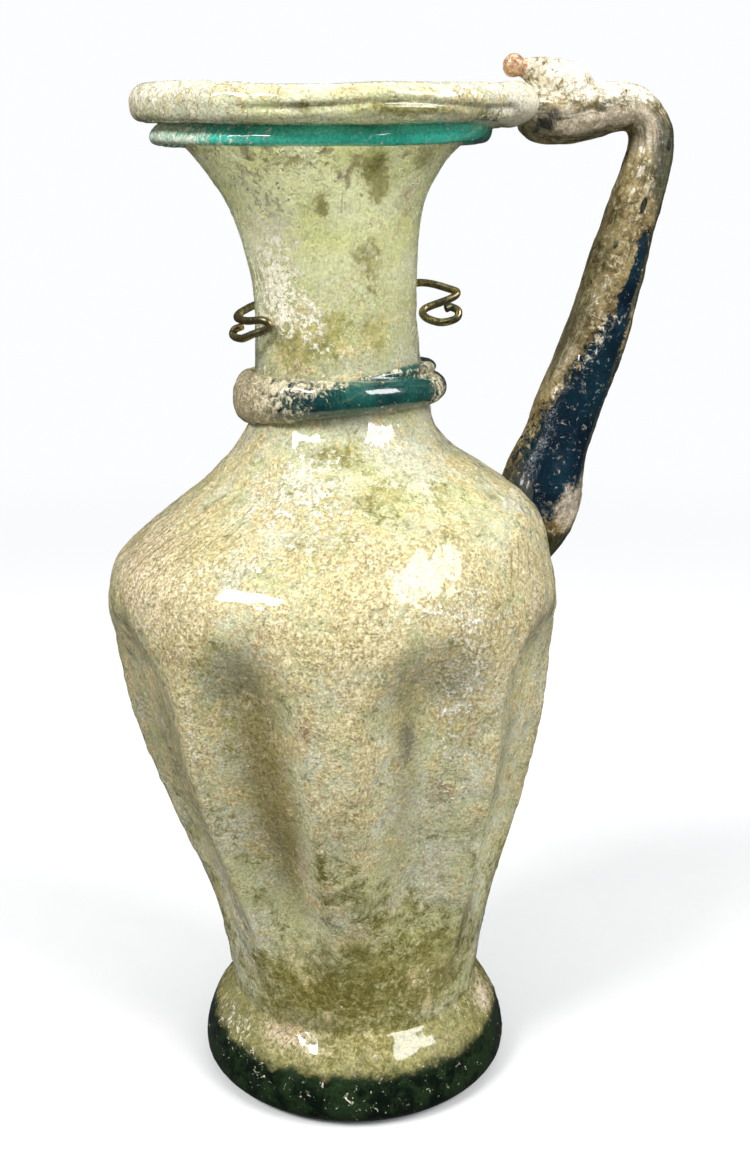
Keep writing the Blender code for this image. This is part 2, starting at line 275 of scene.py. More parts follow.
def made_plain(source: bpy.types.Object) -> bpy.types.Object:
    """Applies an object's modifiers and keeps the result as a plain mesh of the same name.

    Args:
        source: The object, which is removed.

    Returns:
        The plain object.
    """
    bpy.context.view_layer.update()
    evaluated = source.evaluated_get(bpy.context.evaluated_depsgraph_get())
    mesh = bpy.data.meshes.new_from_object(evaluated)
    mesh.transform(source.matrix_world)
    name = source.name
    bpy.data.objects.remove(source, do_unlink=True)
    mesh.shade_smooth()
    return new_object(name, mesh)


def fused(pieces: list[bpy.types.Object], voxel: float, smoothing: int) -> bpy.types.Object:
    """Melts overlapping closed skins into one, the way hot glass joins.

    Args:
        pieces: The skins. The first gives the result its name.
        voxel: Size of the remesh's cells in metres.
        smoothing: Rounds of smoothing after it.

    Returns:
        The one closed skin.
    """
    whole = bmesh.new()
    for piece in pieces:
        whole.from_mesh(piece.data)
    whole.to_mesh(pieces[0].data)
    whole.free()
    for spare in pieces[1:]:
        bpy.data.objects.remove(spare, do_unlink=True)
    remesh = pieces[0].modifiers.new("Melt", "REMESH")
    remesh.mode = "VOXEL"
    remesh.voxel_size = voxel
    remesh.use_smooth_shade = True
    smooth = pieces[0].modifiers.new("Soften", "SMOOTH")
    smooth.factor = 0.5
    smooth.iterations = smoothing
    return made_plain(pieces[0])


@dataclass(frozen=True)
class Patch:
    """A soft spot of a mask, placed on the vessel or on the handle's flank."""

    across: float
    height: float
    wide: float
    tall: float
    strength: float = 1.0

    def cover(self, across: np.ndarray, heights: np.ndarray) -> np.ndarray:
        """How much of the patch lies at each place.

        Args:
            across: Degrees from the front, or the share across the handle.
            heights: Millimetres above the underside.

        Returns:
            The patch's strength there.
        """
        aside = (across - self.across + 180) % 360 - 180
        return self.strength * np.exp(
            -(aside / self.wide) ** 2 - ((heights - self.height) / self.tall) ** 2)


class Skin:
    """A piece's surface as arrays: it reads places, keeps masks and adds relief.

    Attributes:
        mesh: The piece's mesh.
        places: Its points in metres, one row each.
        normals: Its points' normals.
        turns: Each point's turn from the front in degrees.
        heights: Each point's height above the underside in millimetres.
    """

    def __init__(self, piece: bpy.types.Object) -> None:
        """Reads the piece's points and normals.

        Args:
            piece: The piece.
        """
        self.mesh = piece.data
        self.places = self.rows_of(self.mesh.vertices, "co")
        self.normals = self.rows_of(self.mesh.vertex_normals, "vector")
        angles = np.degrees(np.arctan2(self.places[:, 1], self.places[:, 0]))
        self.turns = (angles - FRONT + 180) % 360 - 180
        self.heights = self.places[:, 2] / MM

    @staticmethod
    def rows_of(source: bpy.types.bpy_prop_collection, name: str) -> np.ndarray:
        """A vector value of each item.

        Args:
            source: The mesh's points or normals.
            name: The value's name.

        Returns:
            The vectors, one row each.
        """
        values = np.empty(len(source) * 3, np.float32)
        source.foreach_get(name, values)
        return values.reshape(-1, 3).astype(float)

    def grain(self, size: float, octaves: int, seed: float, at: np.ndarray = None) -> np.ndarray:
        """Cloudy noise from about -1 to 1.

        Args:
            size: Size of its largest blots in millimetres.
            octaves: How many finer layers it has.
            seed: Shifts it to another part of the noise.
            at: Points in millimetres, or the surface's own places.

        Returns:
            The noise at each point.
        """
        points = (self.places / MM if at is None else at) / size + seed
        return np.array([noise.fractal(p, 0.9, 2.1, octaves) for p in points.tolist()])

    def patches(self, patches: tuple[Patch, ...], across: np.ndarray = None) -> np.ndarray:
        """The sum of patches at each place.

        Args:
            patches: The patches.
            across: Each place's share across the handle, or the turns from the front.

        Returns:
            The sum at each place.
        """
        spread = self.turns if across is None else across
        total = np.zeros(len(self.heights))
        for patch in patches:
            total += patch.cover(spread, self.heights)
        return total

    def keep(self, mask: Mask, values: np.ndarray | float) -> None:
        """Stores a mask on the mesh.

        Args:
            mask: Which mask.
            values: Its value at each point, or everywhere.
        """
        layer = self.mesh.attributes.new(mask.value, "FLOAT", "POINT")
        filled = np.broadcast_to(np.clip(values, 0.0, 1.5), len(self.heights))
        layer.data.foreach_set("value", filled.astype(np.float32))

    def keep_flow(self, flow: np.ndarray) -> None:
        """Stores the coordinates, in millimetres, whose third runs along the drawn glass."""
        layer = self.mesh.attributes.new(FLOW, "FLOAT_VECTOR", "POINT")
        layer.data.foreach_set("vector", flow.astype(np.float32).ravel())

    def stand_out(self, amount: np.ndarray) -> None:
        """Moves the surface out along its normals.

        Args:
            amount: How far each point moves, in millimetres.
        """
        moved = self.places + self.normals * (amount * MM)[:, None]
        self.mesh.vertices.foreach_set("co", moved.astype(np.float32).ravel())
        self.mesh.update()


# Finishes

@dataclass(frozen=True)
class GrainKind:
    """A noise that a finish may use.

    Attributes:
        size: Size of its largest blots in millimetres.
        detail: Finer layers.
        rough: How strong those are.
        seed: Shifts it to another part of the noise.
        curl: How far its lines are curled.
        drawn: How many times longer it is along the drawn glass, or 0 for an even noise.
    """

    size: float
    detail: float
    rough: float
    seed: float = 0.0
    curl: float = 0.0
    drawn: float = 0.0


class Grain(Enum):
    """The noises that the finishes share."""

    DUST = GrainKind(0.36, 2.0, 0.65, 23.0, 0.3)
    PIT = GrainKind(0.42, 2.0, 0.60, 17.0)
    FINE = GrainKind(0.60, 3.0, 0.70, 3.0, 0.4)
    FLECK = GrainKind(1.0, 4.0, 0.78, 41.0, 0.6)
    CRUMB = GrainKind(3.6, 6.0, 0.72, 29.0, 0.3)
    CLOUD = GrainKind(9.0, 4.0, 0.60, 5.0)
    DRAWN = GrainKind(0.8, 4.0, 0.66, 11.0, 0.2, 8.0)


@dataclass(frozen=True)
class Layer:
    """One coat over the glass: what it looks like where its mask carries it.

    Attributes:
        mask: The mask that carries it.
        colours: Its two colours, mixed by a noise.
        grain: The noise that breaks its edge up.
        ragged: How far that noise reaches into the mask.
        edge: Softness of its edge.
        rough: Its roughness.
        clear: The share of light that it lets through.
        stand: How far it stands out, in millimetres, in the bump.
        most: How much of what is under it the layer hides.
        bias: Added to the mask: below 0 the layer keeps to specks.
        tone: The noise that mixes the two colours.
        gloss: Weight of the smooth shine over it.
    """

    mask: Mask
    colours: tuple[Colour, Colour]
    grain: Grain = Grain.CRUMB
    ragged: float = 1.0
    edge: float = 0.12
    rough: float = 0.5
    clear: float = 0.0
    stand: float = 0.0
    most: float = 1.0
    bias: float = 0.0
    tone: Grain = Grain.FINE
    gloss: float = 0.5


class Contrast(Enum):
    """The stretch of a noise's values that is spread from 0 to 1: the shorter, the crisper."""

    SOFT = (0.30, 0.70)
    DUSTY = (0.32, 0.68)
    CLOUDED = (0.35, 0.65)
    CRISP = (0.40, 0.60)


class MixKind(Enum):
    """What a Mix node mixes: its data type, then its two inputs' and its output's places."""

    COLOURS = ("RGBA", 6, 7, 2)
    NUMBERS = ("FLOAT", 2, 3, 0)


class Board:
    """A node tree while it is wired, with a short method for each kind of node.

    Attributes:
        owner: The material or world that has the tree.
        nodes: The tree's nodes.
        links: The tree's links.
        grains: The noises that it has so far.
    """

    def __init__(self, owner: bpy.types.Material | bpy.types.World) -> None:
        """Takes up the tree of a material or a world.

        Args:
            owner: The material or world.
        """
        owner.use_nodes = True
        self.owner = owner
        self.nodes = owner.node_tree.nodes
        self.links = owner.node_tree.links
        self.grains: dict[Grain, bpy.types.NodeSocket] = {}

    def feed(self, socket: bpy.types.NodeSocket, value: object) -> None:
        """Links a socket to another, or sets its value.

        Args:
            socket: The input that is fed.
            value: Another node's output, or a plain number, vector or colour.
        """
        if isinstance(value, bpy.types.NodeSocket):
            self.links.new(value, socket)
        elif isinstance(value, tuple):
            socket.default_value = (*value, 1.0)[:len(socket.default_value)]
        else:
            socket.default_value = value

    def add(self, kind: str, *values: object, operation: str = "") -> bpy.types.Node:
        """A new node.

        Args:
            kind: Its type, without the words that all shader nodes have.
            values: What feeds its first inputs.
            operation: What it works out, where it has a choice.

        Returns:
            The node.
        """
        node = self.nodes.new("ShaderNode" + kind)
        if operation:
            node.operation = operation
        for socket, value in zip(node.inputs, values):
            self.feed(socket, value)
        return node

    def scaled(self, vector: bpy.types.NodeSocket, by: Colour,
               shift: float) -> bpy.types.NodeSocket:
        """A vector with each part multiplied, then shifted."""
        shifts = (shift, shift, shift)
        return self.add("VectorMath", vector, by, shifts, operation="MULTIPLY_ADD").outputs[0]

    def attribute(self, name: str) -> bpy.types.Node:
        """A node that reads an attribute of the mesh.

        Args:
            name: The attribute's name.

        Returns:
            The node.
        """
        node = self.add("Attribute")
        node.attribute_name = name
        return node

    def mask(self, mask: Mask) -> bpy.types.NodeSocket:
        """A mask of the mesh."""
        return self.attribute(mask.value).outputs["Fac"]

    def grain(self, grain: Grain) -> bpy.types.NodeSocket:
        """A noise from 0 to 1, made once for each kind.

        Args:
            grain: Which noise.

        Returns:
            Its output.
        """
        if grain not in self.grains:
            kind = grain.value
            if kind.drawn:
                flow = self.attribute(FLOW).outputs["Vector"]
                vector = self.scaled(flow, (1.0, 1.0, 1 / kind.drawn), kind.seed)
            else:
                places = self.add("TexCoord").outputs["Object"]
                vector = self.scaled(places, (1 / MM, 1 / MM, 1 / MM), kind.seed)
            node = self.add("TexNoise", vector)
            node.inputs["Scale"].default_value = 1 / kind.size
            node.inputs["Detail"].default_value = kind.detail
            node.inputs["Roughness"].default_value = kind.rough
            node.inputs["Distortion"].default_value = kind.curl
            self.grains[grain] = node.outputs[0]
        return self.grains[grain]

    def math(self, operation: str, a: object, b: object) -> bpy.types.NodeSocket:
        """Two values joined by an operation of the Math node."""
        return self.add("Math", a, b, operation=operation).outputs[0]

    def spread(self, value: object, low: float, high: float, start: object = 0.0,
               end: object = 1.0) -> bpy.types.NodeSocket:
        """A value brought smoothly from one range to another.

        Args:
            value: What is read.
            low: The value that gives start.
            high: The value that gives end.
            start: The result at low.
            end: The result at high.

        Returns:
            The result's socket.
        """
        node = self.add("MapRange", value, low, high, start, end)
        node.interpolation_type = "SMOOTHSTEP"
        return node.outputs[0]

    def mix(self, kind: MixKind, share: object, a: object, b: object) -> bpy.types.NodeSocket:
        """Two colours or numbers mixed.

        Args:
            kind: Which of the two.
            share: The second one's share.
            a: The first.
            b: The second.

        Returns:
            The mix.
        """
        node = self.add("Mix")
        node.data_type, first, second, result = kind.value
        self.feed(node.inputs["Factor"], share)
        self.feed(node.inputs[first], a)
        self.feed(node.inputs[second], b)
        return node.outputs[result]

    def mixed(self, share: object, a: object, b: object) -> bpy.types.NodeSocket:
        """Two colours mixed."""
        return self.mix(MixKind.COLOURS, share, a, b)

    def between(self, share: object, a: object, b: object) -> bpy.types.NodeSocket:
        """Two numbers mixed."""
        return self.mix(MixKind.NUMBERS, share, a, b)

    def shaded(self, colour: object, shade: object) -> bpy.types.NodeSocket:
        """A colour made darker or lighter.

        Args:
            colour: The colour.
            shade: What it is multiplied by.

        Returns:
            The shaded colour.
        """
        node = self.add("VectorMath", colour, operation="SCALE")
        self.feed(node.inputs["Scale"], shade)
        return node.outputs[0]

    def relief(self, height: bpy.types.NodeSocket, strength: float) -> None:
        """Bends the surface's normal.

        Args:
            height: The relief's height in millimetres.
            strength: How much of it shows.
        """
        node = self.add("Bump")
        node.inputs["Strength"].default_value = strength
        node.inputs["Distance"].default_value = MM
        self.feed(node.inputs["Height"], height)
        self.surface(Normal=node.outputs[0])

    def surface(self, **values: object) -> None:
        """Feeds sockets of the Principled shader, named with _ for a space."""
        for name, value in values.items():
            self.feed(self.nodes["Principled BSDF"].inputs[name.replace("_", " ")], value)


@dataclass(frozen=True)
class OldGlass:
    """Glass that has lain in the ground: a clear body under layers of weathering and painted shade.

    Attributes:
        name: The material's name.
        deep: The glass where it is thick or dark.
        light: The glass where it is thin.
        layers: The coats over it, the lowest first.
        rough: The bare glass's roughness.
        roughest: How many times rougher it is in places.
        clear: The share of light that bare glass lets through.
        bump: Strength of the relief.
        speckle: How far the finest noise stands out, in millimetres.
        dusting: The darkest and the lightest shade of the finest grains.
        gloss: Weight of the shine that the smooth outer face keeps.
        gloss_rough: That shine's roughness.
        gloss_index: Its index of refraction.
        index: The glass's own index of refraction.
        specular: How strongly the face under the shine reflects.
    """

    name: str
    deep: Colour
    light: Colour
    layers: tuple[Layer, ...]
    rough: float = 0.16
    roughest: float = 1.6
    clear: float = 0.5
    bump: float = 0.8
    speckle: float = 0.09
    dusting: tuple[float, float] = (0.74, 1.22)
    gloss: float = 1.0
    gloss_rough: float = 0.07
    gloss_index: float = 1.7
    index: float = 1.5
    specular: float = 0.25

    def build(self) -> bpy.types.Material:
        """Wires the layers over the glass.

        Returns:
            The material.
        """
        board = Board(bpy.data.materials.new(self.name))
        cloud = board.grain(Grain.CLOUD)
        fine = board.grain(Grain.FINE)
        colour = board.mixed(board.spread(cloud, *Contrast.CLOUDED.value), self.deep, self.light)
        rough = board.spread(fine, *Contrast.SOFT.value, self.rough, self.roughest * self.rough)
        clear = board.math("MULTIPLY", board.mask(Mask.CLEAR), self.clear)
        height = board.math("MULTIPLY", fine, self.speckle)
        shine = self.gloss
        for layer in self.layers:
            share = self.share_of(board, layer)
            tone = board.spread(board.grain(layer.tone), *Contrast.CRISP.value)
            own = board.mixed(tone, *layer.colours)
            colour = board.mixed(share, colour, own)
            rough = board.between(share, rough, layer.rough)
            clear = board.between(share, clear, layer.clear)
            shine = board.between(share, shine, layer.gloss)
            if layer.stand:
                stand = board.math("MULTIPLY", share, layer.stand)
                height = board.math("ADD", height, stand)
        dust = board.grain(Grain.DUST)
        height = board.math("ADD", height, board.math("MULTIPLY", dust, self.speckle))
        colour = board.shaded(colour, board.spread(dust, *Contrast.DUSTY.value, *self.dusting))
        shine = board.math("MULTIPLY", shine, board.mask(Mask.SHINE))
        board.surface(Base_Color=colour, Roughness=rough, Transmission_Weight=clear,
                      Coat_Weight=shine, Coat_Roughness=self.gloss_rough,
                      Coat_IOR=self.gloss_index, IOR=self.index,
                      Specular_IOR_Level=self.specular)
        board.relief(height, self.bump)
        return board.owner

    def share_of(self, board: Board, layer: Layer) -> bpy.types.NodeSocket:
        """How much of a layer shows: its mask, broken up by its noise.

        Args:
            board: The material being wired.
            layer: The layer.

        Returns:
            The share's socket, from 0 to the layer's most.
        """
        shift = board.math("SUBTRACT", board.grain(layer.grain), 0.5)
        shift = board.math("MULTIPLY", shift, 2 * layer.ragged)
        ragged = board.math("ADD", board.mask(layer.mask), shift)
        middle = 0.5 - layer.bias
        return board.spread(ragged, middle - layer.edge, middle + layer.edge, 0.0, layer.most)


@dataclass(frozen=True)
class OldBronze:
    """A drawn bronze wire with a brown patina that is rubbed bright in places.

    Attributes:
        name: The material's name.
        patina: The patina's brown.
        green: Its green.
        rubbed: The bare metal.
        greening: The stretch of the fine noise over which the brown turns green.
        rubbing: The stretch of the coarse noise over which the metal gets bare.
        rough: The lowest and the highest roughness.
        metal: How metallic the patina and the bare metal are.
        speckle: How far the finest noise stands out, in millimetres.
        bump: Strength of the relief.
    """

    name: str = "neck_wire_bronze"
    patina: Colour = (0.12, 0.095, 0.045)
    green: Colour = (0.10, 0.12, 0.07)
    rubbed: Colour = (0.42, 0.33, 0.16)
    greening: Range = (0.40, 0.62)
    rubbing: Range = (0.42, 0.60)
    rough: Range = (0.24, 0.42)
    metal: Range = (0.75, 1.0)
    speckle: float = 0.05
    bump: float = 0.7

    def build(self) -> bpy.types.Material:
        """Wires the patina.

        Returns:
            The material.
        """
        board = Board(bpy.data.materials.new(self.name))
        fine = board.grain(Grain.FINE)
        dull = board.mixed(board.spread(fine, *self.greening), self.patina, self.green)
        bright = board.spread(board.grain(Grain.CRUMB), *self.rubbing)
        board.surface(Base_Color=board.mixed(bright, dull, self.rubbed),
                      Roughness=board.spread(fine, *Contrast.SOFT.value, *self.rough),
                      Metallic=board.spread(bright, 0.0, 1.0, *self.metal))
        board.relief(board.math("MULTIPLY", fine, self.speckle), self.bump)
        return board.owner


CREAM = (0.78, 0.71, 0.48)
WHITE = (0.95, 0.92, 0.78)
PIT_BROWN = ((0.12, 0.085, 0.03), (0.26, 0.19, 0.075))

PALE_GLASS = OldGlass(
    name="pale_glass_weathered",
    deep=(0.82, 0.84, 0.46),
    light=(0.97, 0.98, 0.76),
    layers=(
        # Painted shade in the flutes: dark brown where the flute shade mask lies.
        Layer(Mask.FLUTE_SHADE, ((0.20, 0.15, 0.055), (0.34, 0.28, 0.12)), Grain.CRUMB, ragged=0.6,
              edge=0.48, rough=0.35, most=0.95),
        Layer(Mask.OLIVE, ((0.24, 0.20, 0.045), (0.46, 0.42, 0.13)), Grain.FLECK, ragged=-1.4,
              edge=0.22, rough=0.3, clear=0.2, most=0.85, bias=-0.15, tone=Grain.CRUMB),
        # Darker olive where the glass is thick, and painted shade in the groove under the rim.
        Layer(Mask.DEEP_AND_SHADE, ((0.13, 0.115, 0.020), (0.29, 0.255, 0.07)), Grain.CRUMB, ragged=-1.2,
              edge=0.42, rough=0.25, most=0.90, gloss=0.8, tone=Grain.FLECK),
        Layer(Mask.CRUST, ((0.48, 0.36, 0.155), (0.76, 0.66, 0.36)), Grain.CRUMB, ragged=1.8,
              edge=0.22, rough=0.45, stand=0.06, most=0.85),
        Layer(Mask.CRUST, ((0.58, 0.49, 0.25), (0.84, 0.76, 0.47)), Grain.FLECK, ragged=1.9,
              edge=0.16, rough=0.45, stand=0.06, most=0.80, bias=-0.15),
        Layer(Mask.BLUSH, ((0.70, 0.53, 0.35), (0.93, 0.80, 0.63)), Grain.FLECK, ragged=1.2,
              edge=0.3, rough=0.5, most=0.8),
        Layer(Mask.STRIAE, ((0.28, 0.20, 0.085), (0.46, 0.36, 0.18)), Grain.DRAWN, ragged=1.5,
              edge=0.20, rough=0.45, stand=-0.06, most=0.70, bias=-0.08),
        Layer(Mask.RUST, ((0.26, 0.145, 0.06), (0.46, 0.31, 0.18)), Grain.FLECK, ragged=1.5,
              edge=0.2, rough=0.5, most=0.85),
        # Grey spots, and painted shade low in the flutes.
        Layer(Mask.SMOKE, ((0.11, 0.11, 0.085), (0.20, 0.19, 0.15)), ragged=0.7, edge=0.35,
              rough=0.35, most=0.8, gloss=0.8),
        # Near black green: thick glass on the foot, with the painted dark reflection of a black
        # stand.
        Layer(Mask.BOTTLE_AND_REFLECTION, ((0.002, 0.006, 0.003), (0.014, 0.030, 0.010)), Grain.CRUMB,
              ragged=0.9, edge=0.34, rough=0.08, gloss=1.0, tone=Grain.CRUMB),
        Layer(Mask.BLUE, ((0.004, 0.012, 0.035), (0.006, 0.02, 0.05)), ragged=0.8, edge=0.2,
              rough=0.08, most=0.9, gloss=1.0),
        Layer(Mask.FROST, (CREAM, WHITE), Grain.FLECK, ragged=2.0, edge=0.10, rough=0.5,
              stand=0.07, bias=-0.2, gloss=0.3),
        Layer(Mask.CRUST, PIT_BROWN, Grain.PIT, ragged=1.7, edge=0.16, rough=0.5, stand=-0.07,
              most=0.45, bias=-0.48, gloss=0.3),
    ),
    rough=0.14,
    clear=0.70,
    bump=1.0,
    specular=0.15,
)
TURQUOISE_GLASS = OldGlass(
    name="turquoise_glass_weathered",
    deep=(0.035, 0.50, 0.35),
    light=(0.09, 0.74, 0.54),
    layers=(
        Layer(Mask.CRUST, ((0.34, 0.56, 0.42), (0.86, 0.88, 0.70)), Grain.FLECK, ragged=1.6,
              edge=0.12, rough=0.5, stand=0.06),
        Layer(Mask.SMOKE, ((0.02, 0.05, 0.06), (0.10, 0.12, 0.10)), ragged=1.0, edge=0.2,
              rough=0.3),
    ),
    rough=0.10,
    clear=0.15,
    bump=0.5,
    speckle=0.03,
)
DARK_GLASS = OldGlass(
    name="dark_teal_glass_weathered",
    deep=(0.004, 0.030, 0.036),
    light=(0.014, 0.100, 0.080),
    layers=(
        Layer(Mask.CRUST, ((0.34, 0.29, 0.18), (0.68, 0.61, 0.42)), Grain.FLECK, ragged=1.2,
              edge=0.18, rough=0.5, stand=0.08, tone=Grain.FLECK),
        Layer(Mask.SMOKE, ((0.07, 0.065, 0.045), (0.20, 0.18, 0.13)), ragged=1.3, edge=0.2,
              rough=0.45, most=0.9),
        Layer(Mask.CRUST, PIT_BROWN, Grain.PIT, ragged=1.7, edge=0.12, rough=0.5, stand=-0.07,
              most=0.6, bias=-0.5, gloss=0.2),
    ),
    rough=0.10,
    clear=0.10,
    bump=0.7,
)
HANDLE_GLASS = OldGlass(
    name="handle_glass_weathered",
    deep=(0.002, 0.009, 0.020),
    light=(0.004, 0.028, 0.044),
    layers=(
        Layer(Mask.CRUST, ((0.13, 0.088, 0.026), (0.40, 0.31, 0.14)), Grain.FLECK, ragged=1.3,
              edge=0.14, rough=0.45, stand=0.10, tone=Grain.CRUMB, gloss=0.2),
        Layer(Mask.CRUST, ((0.44, 0.36, 0.19), (0.66, 0.58, 0.36)), Grain.FLECK, ragged=1.7,
              edge=0.12, rough=0.5, stand=0.06, most=0.85, bias=-0.62, gloss=0.2),
        Layer(Mask.CRUST, ((0.05, 0.04, 0.018), (0.10, 0.08, 0.035)), Grain.DRAWN, ragged=1.5,
              edge=0.15, rough=0.4, most=0.65, bias=-0.78),
        Layer(Mask.BLUSH, ((0.40, 0.33, 0.23), (0.68, 0.58, 0.44)), ragged=1.2, edge=0.25,
              rough=0.5, most=0.9, tone=Grain.FLECK, gloss=0.25),
        Layer(Mask.FROST, ((0.64, 0.58, 0.41), WHITE), Grain.FLECK, ragged=1.4, edge=0.26,
              rough=0.5, stand=0.05, gloss=0.3, tone=Grain.CRUMB),
        Layer(Mask.OLIVE, ((0.020, 0.024, 0.010), (0.085, 0.092, 0.052)), Grain.DRAWN, ragged=1.0,
              edge=0.25, rough=0.12, most=0.88, tone=Grain.DRAWN, gloss=0.9),
        Layer(Mask.RUST, ((0.38, 0.18, 0.08), (0.70, 0.46, 0.28)), ragged=0.6, edge=0.25,
              rough=0.35, most=0.95),
        # Near black: dark spots, and the painted shade in the corner under the fold.
        Layer(Mask.SMOKE, ((0.008, 0.010, 0.008), (0.03, 0.03, 0.024)), ragged=0.9, edge=0.15,
              rough=0.18, most=0.95, gloss=0.9),
    ),
    rough=0.09,
    clear=0.05,
)


# Sub-assemblies

@dataclass(frozen=True)
class VesselForm:
    """The vessel's outline, and how its glass was pressed and settled, as in its solid.

    Lengths are in metres. A table of shares has, for each point between two main points of the
    outline, its share of the rise and of the swell. A rib has its turn from the front in
    degrees, and how broad its back is as a share of a flute. The rim's waves start and are full
    at their distances from the neck's waist and from the mouth.
    """

    foot_base_radius: float = 0.0212
    foot_radius: float = 0.0240
    foot_edge_height: float = 0.0024
    crease_height: float = 0.0128
    crease_radius: float = 0.0193
    floor_thickness: float = 0.0052
    shoulder_height: float = 0.0723
    shoulder_radius: float = 0.0330
    flute_depth: float = 0.0042
    flute_top: float = 0.0785
    flute_bottom: float = 0.0155
    flute_arch: float = 0.0060
    neck_root_height: float = 0.0993
    neck_root_radius: float = 0.0145
    neck_height: float = 0.1178
    neck_radius: float = 0.0115
    mouth_height: float = 0.1443
    rim_radius: float = 0.0275
    roll_radius: float = 0.0023
    wall: float = 0.0019
    body_shares: Table = ((0.10, 0.06), (0.27, 0.25), (0.48, 0.56), (0.74, 0.87), (1.0, 1.0))
    slope_shares: Table = ((0.26, 0.02), (0.45, 0.14), (0.63, 0.36), (0.81, 0.69), (1.0, 1.0))
    neck_shares: Table = ((0.33, 0.66), (1.0, 1.0))
    funnel_shares: Table = ((0.45, 0.10), (0.68, 0.30), (0.85, 0.55), (0.95, 0.73))
    ribs: Table = (
        (0, 0.14), (46, 0.0), (90, 0.03), (134, 0.02),
        (181, 0.04), (226, 0.02), (270, 0.03), (322, 0.0), (360, 0.14),
    )
    rim_waves: Range = (0.0015, 0.00055)
    waves_above_neck: float = 0.011
    waves_below_mouth: float = 0.003

    @staticmethod
    def band(low: tuple, high: tuple, shares: Table) -> list:
        """Points between two (radius, height) points.

        Args:
            low: The lower point.
            high: The upper point.
            shares: Each point's share of the rise and of the swell.

        Returns:
            The points.
        """
        swell = high[0] - low[0]
        rise = high[1] - low[1]
        return [(low[0] + out * swell, low[1] + up * rise) for up, out in shares]

    @cached_property
    def wall_line(self) -> np.ndarray:
        """The outer wall's smooth line from the crease to the mouth.

        Returns:
            The points' radii and heights, one row each.
        """
        crease = (self.crease_radius, self.crease_height)
        shoulder = (self.shoulder_radius, self.shoulder_height)
        root = (self.neck_root_radius, self.neck_root_height)
        neck = (self.neck_radius, self.neck_height)
        mouth = (self.rim_radius, self.mouth_height)
        return curve_through([
            crease,
            *self.band(crease, shoulder, self.body_shares),
            *self.band(shoulder, root, self.slope_shares),
            *self.band(root, neck, self.neck_shares),
            *self.band(neck, mouth, self.funnel_shares),
        ], 24)

    def wall_spot(self, heights: np.ndarray) -> tuple[np.ndarray, np.ndarray]:
        """Where the outer wall is before the flutes are pressed.

        Args:
            heights: Where it is read, in metres.

        Returns:
            The wall's radii, and its outward normals in the outline's plane.
        """
        line = self.wall_line
        along = directions(line)
        radii = np.interp(heights, line[:, 1], line[:, 0])
        out = np.interp(heights, line[:, 1], along[:, 1])
        down = np.interp(heights, line[:, 1], -along[:, 0])
        return radii, np.stack([out, down], axis=-1)

    def inner_line(self) -> np.ndarray:
        """The inner wall's line, from the floor's middle up to the roll.

        Returns:
            The points' radii and heights, one row each.
        """
        along = directions(self.wall_line)
        inside = np.stack([-along[:, 1], along[:, 0]], axis=-1)
        wall = (self.wall_line + inside * self.wall)[:-6]
        edge = self.crease_radius - self.wall
        floor = curve_through([
            (0.1 * edge, self.floor_thickness + 0.0008),
            (0.66 * edge, self.floor_thickness),
            (0.96 * edge, self.floor_thickness + 0.0016),
            (edge, self.floor_thickness + 0.0034),
        ], 3)
        return np.vstack([floor[:-1], wall])

    def roll_arc(self, points: int) -> np.ndarray:
        """The folded rim's round edge, from its inner side over the top to its underside.

        Args:
            points: How many points it has.

        Returns:
            The points' radii and heights, one row each.
        """
        turns = np.radians(np.linspace(160, -120, points))
        middle = np.array([self.rim_radius - self.roll_radius, self.mouth_height])
        return middle + np.stack([np.cos(turns), np.sin(turns)], axis=-1) * self.roll_radius

    def foot_line(self) -> np.ndarray:
        """The foot's outer side, from the crease down to the standing edge.

        Returns:
            The points' radii and heights, one row each.
        """
        crease = (self.crease_radius, self.crease_height)
        edge = (self.foot_radius, self.foot_edge_height)
        base = (self.foot_base_radius, 0.0)
        upper = self.band(crease, edge, ((0.12, 0.20), (0.38, 0.62), (0.70, 0.91), (1.0, 1.0)))
        lower = self.band(edge, base, ((0.60, 0.30), (0.93, 0.70), (1.0, 1.0)))
        return curve_through([crease, *upper, *lower], 4)[1:]

    def lean(self, heights: np.ndarray) -> np.ndarray:
        """How far the wall's centre has drifted towards the handle.

        Args:
            heights: Where it is read, in metres.

        Returns:
            The drift at each height, below 0 where it is away from the handle.
        """
        return read((
            (self.crease_height, -0.0004),
            (self.shoulder_height, -0.0034),
            (self.shoulder_height + 0.008, -0.0033),
            (self.neck_root_height - 0.008, 0.0),
            (self.neck_root_height + 0.001, -0.0020),
            (self.neck_height, -0.0028),
            (self.mouth_height - 0.005, -0.0046),
            (self.mouth_height, -0.0028),
        ), heights)

    def rim_wave(self, azimuths: np.ndarray) -> np.ndarray:
        """How far the rim stands above or below its mean height.

        Args:
            azimuths: Angles round +Z in radians.

        Returns:
            The distances in metres.
        """
        turns = azimuths - radians(FRONT)
        once, twice = self.rim_waves
        return -once * np.cos(turns) - twice * np.cos(2 * turns)

    def press(self, azimuths: np.ndarray, heights: np.ndarray) -> np.ndarray:
        """How deep the wall is pressed in between the ribs.

        Args:
            azimuths: Angles round +Z in radians.
            heights: Heights of the turned shape.

        Returns:
            The depths in metres.
        """
        turns = np.degrees(azimuths) - FRONT
        turns = turns % 360
        places = np.array([place for place, _ in self.ribs], float)
        backs = np.array([back for _, back in self.ribs])
        spot = np.clip(np.searchsorted(places, turns, side="right") - 1, 0, len(places) - 2)
        share = (turns - places[spot]) / (places[spot + 1] - places[spot])
        near, far = backs[spot], backs[spot + 1]
        share = np.clip((share - near) / (1 - near - far), 0.0, 1.0)
        scoop = np.sin(pi * share)
        top = self.flute_top - self.flute_arch * (1 - scoop)
        rise = blend(heights, self.flute_bottom,
                     self.flute_bottom + 0.4 * (self.flute_top - self.flute_bottom))
        fall = 1 - blend(heights, top - 2 * self.flute_arch, top)
        return self.flute_depth * scoop * rise * fall

